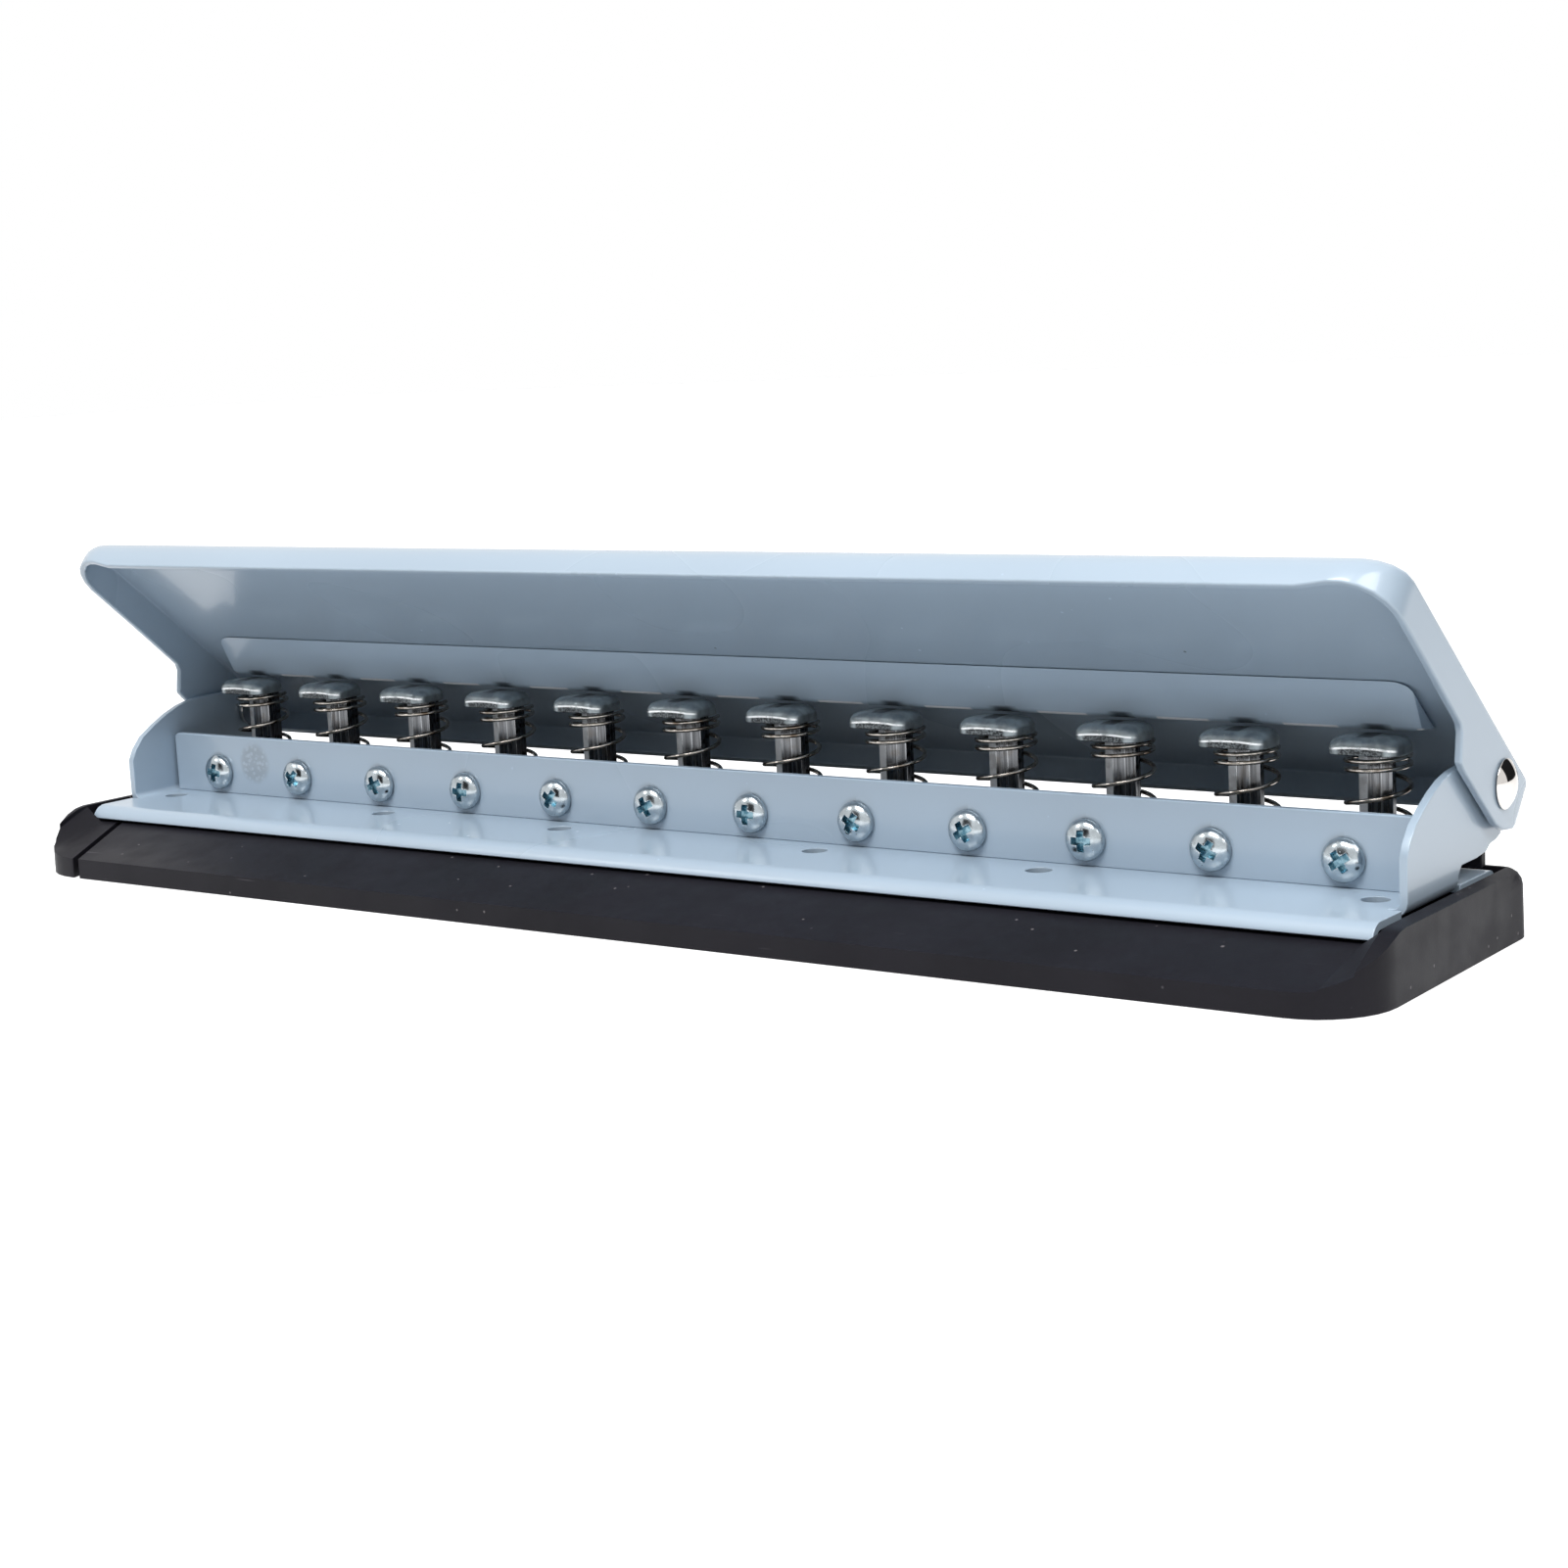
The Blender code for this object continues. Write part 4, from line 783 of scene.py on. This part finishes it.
class PUNCH_OT_rivets(bpy.types.Operator):
    """Polished domes on the pivot rivets"""
    bl_idname = "punch.rivets"
    bl_label = "Pivot rivets"

    def execute(self, context):
        for side, word in ((-1, "left"), (1, "right")):
            node = f"{word}_pivot_rivet"
            low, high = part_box(node)
            radius = (high.y - low.y) / 2
            half = (high.x - low.x) / 2
            under_dome = half - sizes().rivet_dome
            shank = radius * RIVET_SHANK_SHARE
            clench = radius * RIVET_CLENCH_SHARE
            inner = radius * RIVET_CLENCH_DEPTH_SHARE - half
            profile = [*cap_points(radius, sizes().rivet_dome, 16, under_dome), (shank, under_dome),
                       (shank, inner), (clench, inner), (clench, -half), (0, -half)]
            shape = soften(turned(profile), radius * RIVET_EDGE_SHARE, 2, 50)
            placed(shape, (low + high) / 2, Euler((0, side * math.pi / 2, 0)))
            add_piece(f"{word}_rivet_dome", shape, polished_chrome, "frame", "chrome", node)
        return {"FINISHED"}


def recess_tool(top, depth):
    """Two crossed bars that taper downwards, for a screw's recess."""
    shape = bmesh.new()
    size = Vector((RECESS_ARM_SHARE * SCREW_RADIUS * 2, RECESS_WIDTH_SHARE * SCREW_RADIUS, depth * 2))
    for quarter in range(2):
        bar = bmesh.ops.create_cube(shape, size=1)["verts"]
        bmesh.ops.scale(shape, vec=size, verts=bar)
        for vert in bar:
            if vert.co.z < 0:
                vert.co.x *= RECESS_TAPER[0]
                vert.co.y *= RECESS_TAPER[1]
        move = Matrix.Translation((0, 0, top)) @ Matrix.Rotation(math.pi / 2 * quarter, 4, "Z")
        bmesh.ops.transform(shape, matrix=move, verts=bar)
    return shape


class PUNCH_OT_screws(bpy.types.Operator):
    """Domed zinc screws with a crossed recess, each turned as tightened"""
    bl_idname = "punch.screws"
    bl_label = "Screws"

    def execute(self, context):
        head = sizes().screw_head_height
        for i, number in enumerate(NUMBERS):
            low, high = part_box(f"screw_{number}")
            middle = (low + high) / 2
            angle = math.radians(FIRST_SCREW_ANGLE + SCREW_ANGLE_STEP * i)
            shape = self.make(head, high.y - low.y - head)
            placed(shape, Vector((middle.x, low.y + head, middle.z)), Euler((math.pi / 2, angle, 0)))
            add_piece(f"pan_screw_{number}", shape, zinc_plate, "frame", "zinc_plate", f"screw_{number}")
        return {"FINISHED"}

    def make(self, head, shank):
        """A screw that stands on its shank, with the faces of its recess marked."""
        radius = SCREW_RADIUS
        rim = head * SCREW_RIM_SHARE
        profile = [*ellipse(radius, head - rim, 12, rim), (radius, 0), (radius / 2, 0),
                   (radius / 2, -shank), (0, -shank)]
        shape = cut_away(turned(profile), recess_tool(head, sizes().recess_depth))
        bmesh.ops.remove_doubles(shape, verts=shape.verts, dist=MERGE)
        recess = shape.loops.layers.float.new("recess")
        for face in shape.faces:
            spot = face.calc_center_median()
            out = math.hypot(spot.x, spot.y)
            skin = rim + (head - rim) * math.sqrt(max(0, 1 - (out / radius) ** 2))
            inside = spot.z > 0 and out < radius * RECESS_MARK_SHARE and spot.z < skin - head * 0.03
            for loop in face.loops:
                loop[recess] = float(inside)
        return soften(shape, radius * SCREW_EDGE_SHARE, 2, 40)


def head_shape(size):
    """A cast cap: a rounded block whose top is drawn in by steps to a low dome."""
    shape = bmesh.new()
    side_height = size.z * HEAD_SIDE_SHARE
    bmesh.ops.create_cube(shape, size=1)
    bmesh.ops.scale(shape, vec=(size.x, size.y, side_height), verts=shape.verts)
    corners = [e for e in shape.edges if abs(e.verts[0].co.z - e.verts[1].co.z) > side_height / 2]
    rounded(shape, corners, size.y * HEAD_CORNER_SHARE, 7)
    bmesh.ops.translate(shape, vec=(0, 0, side_height / 2), verts=shape.verts)
    top = max(shape.faces, key=lambda face: face.calc_center_median().z)
    rise = size.z - side_height
    last_up = 0.0
    last_in = 1.0
    for up, inward in HEAD_TOP_RINGS:
        top = bmesh.ops.extrude_discrete_faces(shape, faces=[top])["faces"][0]
        factor = inward / last_in
        bmesh.ops.scale(shape, vec=(factor, factor, 1), verts=top.verts)
        bmesh.ops.translate(shape, vec=(0, 0, rise * (up - last_up)), verts=top.verts)
        last_up = up
        last_in = inward
    return shape


class PUNCH_OT_punches(bpy.types.Operator):
    """Ground punches and their cast heads"""
    bl_idname = "punch.punches"
    bl_label = "Punches and heads"

    def execute(self, context):
        for number in NUMBERS:
            self.make_punch(number)
            self.make_head(number)
        return {"FINISHED"}

    def make_punch(self, number):
        shape = merged(f"punch_{number}")
        # Marks the faces that face front and left, which the finish gives a painted highlight.
        facet_highlight = shape.loops.layers.float.new("facet_highlight")
        for face in shape.faces:
            marked = face.normal.x < -0.15 and face.normal.y < -0.5
            for loop in face.loops:
                loop[facet_highlight] = float(marked)
        soften(shape, PUNCH_EDGE, 2, 12)
        add_piece(f"punch_bar_{number}", shape, ground_punch_steel, f"punch_{number}", "punch_steel",
                  f"punch_{number}")

    def make_head(self, number):
        low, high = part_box(f"head_{number}")
        middle = (low + high) / 2
        shape = soften(head_shape(high - low), HEAD_EDGE, 2, 40)
        placed(shape, Vector((middle.x, middle.y, low.z)), Euler())
        add_piece(f"cast_head_{number}", shape, cast_cap, f"punch_{number}", "dull_steel",
                  f"head_{number}")


def spring_line(centre, radius, top, bottom):
    """Points down a spring that is close wound at both ends and open between them."""
    open_end = SPRING_TOP_TURNS + SPRING_OPEN_TURNS
    total = open_end + SPRING_BOTTOM_TURNS
    leave = top - sizes().top_pitch * SPRING_TOP_TURNS
    reach = bottom + sizes().bottom_pitch * SPRING_BOTTOM_TURNS
    steps = round(total * SPRING_STEPS_PER_TURN)
    points = []
    for i in range(steps + 1):
        turns = total * i / steps
        if turns < SPRING_TOP_TURNS:
            z = top - sizes().top_pitch * turns
        elif turns < open_end:
            z = leave + (reach - leave) * (turns - SPRING_TOP_TURNS) / SPRING_OPEN_TURNS
        else:
            z = bottom + sizes().bottom_pitch * (total - turns)
        angle = SPRING_START_ANGLE - turns * math.tau
        points.append((centre.x + radius * math.cos(angle), centre.y + radius * math.sin(angle), z))
    return points


def spring_axis(number):
    """The foot of a spring's axis, which stands a little behind the middle of its punch's head."""
    low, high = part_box(f"head_{number}")
    return Vector(((low.x + high.x) / 2, (low.y + high.y) / 2 + SPRING_BEHIND_HEAD, 0))


class PUNCH_OT_springs(bpy.types.Operator):
    """Coil springs under the punch heads"""
    bl_idname = "punch.springs"
    bl_label = "Springs"

    def execute(self, context):
        for number in NUMBERS:
            self.make(number)
        return {"FINISHED"}

    def make(self, number):
        low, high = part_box(f"spring_{number}")
        wire = sizes().spring_wire
        centre = spring_axis(number)
        points = spring_line(centre, (SPRING_DIAMETER - wire) / 2, high.z - wire / 2, low.z + wire / 2)
        curve = bpy.data.curves.new("wire", "CURVE")
        curve.dimensions = "3D"
        curve.bevel_depth = wire / 2
        curve.bevel_resolution = 3
        curve.use_fill_caps = True
        spline = curve.splines.new("POLY")
        spline.points.add(len(points) - 1)
        for target, point in zip(spline.points, points):
            target.co = (*point, 1)
        guide = added("wire", curve)
        graph = bpy.context.evaluated_depsgraph_get()
        mesh = bpy.data.meshes.new_from_object(guide.evaluated_get(graph))
        bpy.data.objects.remove(guide)
        shape = bmesh.new()
        shape.from_mesh(mesh)
        bmesh.ops.remove_doubles(shape, verts=shape.verts, dist=MERGE)
        bmesh.ops.recalc_face_normals(shape, faces=shape.faces)
        piece = add_piece(f"coil_{number}", shape, nickel_wire, "frame", "spring_wire",
                          f"spring_{number}", flat_wins=False)
        travel = next(j for j in frame["joints"] if j["name"] == f"punch_{number}_slide")["range_m"][1]
        keep = 1 - travel / (high.z - low.z)
        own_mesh(piece)


# Stage

def stage_object(name, reach, centre, turn, material):
    """A flat square that reaches as far as given to each side of its centre."""
    shape = bmesh.new()
    bmesh.ops.create_grid(shape, x_segments=1, y_segments=1, size=reach)
    mesh = mesh_from(name, placed(shape, centre, turn))
    mesh.materials.append(material)
    item = added(name, mesh)
    return item


def floor_material():
    """A pale surface that the camera and the metal see as white, and that keeps the shadow."""
    finish = Finish("pale_floor", Roughness=0.6)
    finish.put(Base_Color=tuple(finishes().floor))
    camera = finish.node("ShaderNodeLightPath", {}, output="Is Camera Ray")
    seen = camera.at_least(camera.sibling("Is Glossy Ray"))
    glow = finish.node("ShaderNodeEmission", {}, named={"Strength": seen * FLOOR_GLOW})
    both = finish.node("ShaderNodeAddShader", {}, Value(finish, finish.shader.outputs[0]), glow)
    finish.feed(finish.tree.nodes["Material Output"].inputs["Surface"], both)
    return finish.material


def card_material():
    finish = Finish("dark_card", Roughness=1.0)
    finish.put(Base_Color=(0.01, 0.01, 0.012))
    return finish.material


def area_light(name, place, target, size, watts):
    data = bpy.data.lights.new(name, "AREA")
    data.shape = "RECTANGLE"
    data.size, data.size_y = size
    data.energy = watts
    lamp = added(name, data)
    lamp.location = place
    lamp.rotation_euler = (Vector(target) - Vector(place)).to_track_quat("-Z", "Y").to_euler()


def studio_world():
    """White for the rays that show it, and dim for the light that it gives."""
    world = bpy.data.worlds.new("studio")
    world.use_nodes = True
    tree = world.node_tree
    backdrop = tree.nodes["Background"]
    backdrop.inputs["Color"].default_value = (1, 1, 1, 1)
    rays = tree.nodes.new("ShaderNodeLightPath")
    seen = rays.outputs["Is Camera Ray"]
    for ray in ("Is Glossy Ray", "Is Transmission Ray"):
        either = tree.nodes.new("ShaderNodeMath")
        either.operation = "MAXIMUM"
        tree.links.new(seen, either.inputs[0])
        tree.links.new(rays.outputs[ray], either.inputs[1])
        seen = either.outputs[0]
    level = tree.nodes.new("ShaderNodeMapRange")
    tree.links.new(seen, level.inputs["Value"])
    level.inputs["To Min"].default_value = WORLD_LEVEL
    level.inputs["To Max"].default_value = 1.0
    tree.links.new(level.outputs[0], backdrop.inputs["Strength"])
    bpy.context.scene.world = world


def photo_camera():
    """The camera that sees the punch as the photograph does."""
    data = bpy.data.cameras.new("camera")
    data.sensor_width = 36
    data.lens = CAMERA_LENS
    data.clip_start = 0.01
    data.clip_end = 50
    camera = added("camera", data)
    level = math.cos(CAMERA_PITCH)
    forward = Vector((math.sin(CAMERA_YAW) * level, math.cos(CAMERA_YAW) * level, math.sin(CAMERA_PITCH)))
    right = Vector((math.cos(CAMERA_YAW), -math.sin(CAMERA_YAW), 0))
    up = right.cross(forward)
    side = right * math.cos(CAMERA_ROLL) + up * math.sin(CAMERA_ROLL)
    top = up * math.cos(CAMERA_ROLL) - right * math.sin(CAMERA_ROLL)
    turn = Matrix((side, top, -forward)).transposed()
    place = Vector(CAMERA_PLACE) + Vector((0, CAD_BOX[0].y, 0))
    camera.matrix_world = Matrix.Translation(place) @ turn.to_4x4()
    bpy.context.scene.camera = camera


class PUNCH_OT_stage(bpy.types.Operator):
    """Pale floor, soft studio light, dark cards that only mirrors see, and the camera"""
    bl_idname = "punch.stage"
    bl_label = "Stage"

    def execute(self, context):
        context.scene.view_settings.view_transform = "Standard"
        stage_object("floor", 4, (0, 0, -0.0001), Euler(), floor_material())
        studio_world()
        middle = (0, 0, 0.03)
        area_light("key", (0.12, -0.85, 1.46), middle, (1.0, 0.8), 29)
        area_light("side", (0.56, -0.1, 0.5), (0.16, 0, 0.03), (0.3, 0.3), 1.8)
        area_light("left", (-1.0, -0.95, 0.95), middle, (0.3, 0.3), 1.6)
        dark = card_material()
        for name, reach, place, aim in (("front_card", 0.42, (-0.3, -1.47, 0.42), middle),
                                        ("rear_card", 0.8, (1.1, 1.25, 0.5), middle),
                                        ("shade_card", 0.2, (-0.06, 0.234, 0.0006), (-0.06, 0.234, 1))):
            turn = (Vector(aim) - Vector(place)).to_track_quat("Z", "Y").to_euler()
            card = stage_object(name, reach, place, turn, dark)
            card.visible_camera = False
            card.visible_diffuse = False
            card.visible_shadow = False
        photo_camera()
        return {"FINISHED"}


OPERATORS = (PUNCH_OT_mouldings, PUNCH_OT_chassis, PUNCH_OT_front_plate, PUNCH_OT_inner_steel,
             PUNCH_OT_handle, PUNCH_OT_press_bar, PUNCH_OT_rivets, PUNCH_OT_screws, PUNCH_OT_punches,
             PUNCH_OT_springs, PUNCH_OT_stage)


class PUNCH_PT_panel(bpy.types.Panel):
    bl_idname = "PUNCH_PT_panel"
    bl_label = "Mushroom hole punch"
    bl_space_type = "VIEW_3D"
    bl_region_type = "UI"
    bl_category = "Punch"

    def draw(self, context):
        for group in (context.scene.punch_sizes, context.scene.punch_finishes):
            box = self.layout.box()
            for name in group.__annotations__:
                box.prop(group, name)
        for operator in OPERATORS:
            self.layout.operator(operator.bl_idname)


CLASSES = (PunchFinishes, PunchSizes, *OPERATORS, PUNCH_PT_panel)


def register():
    for item in CLASSES:
        bpy.utils.register_class(item)
    bpy.types.Scene.punch_finishes = bpy.props.PointerProperty(type=PunchFinishes)
    bpy.types.Scene.punch_sizes = bpy.props.PointerProperty(type=PunchSizes)


def unregister():
    del bpy.types.Scene.punch_sizes
    del bpy.types.Scene.punch_finishes
    for item in reversed(CLASSES):
        bpy.utils.unregister_class(item)


def main():
    register()
    for operator in OPERATORS:
        group, name = operator.bl_idname.split(".")
        getattr(getattr(bpy.ops, group), name)()


if __name__ == "__main__":
    main()
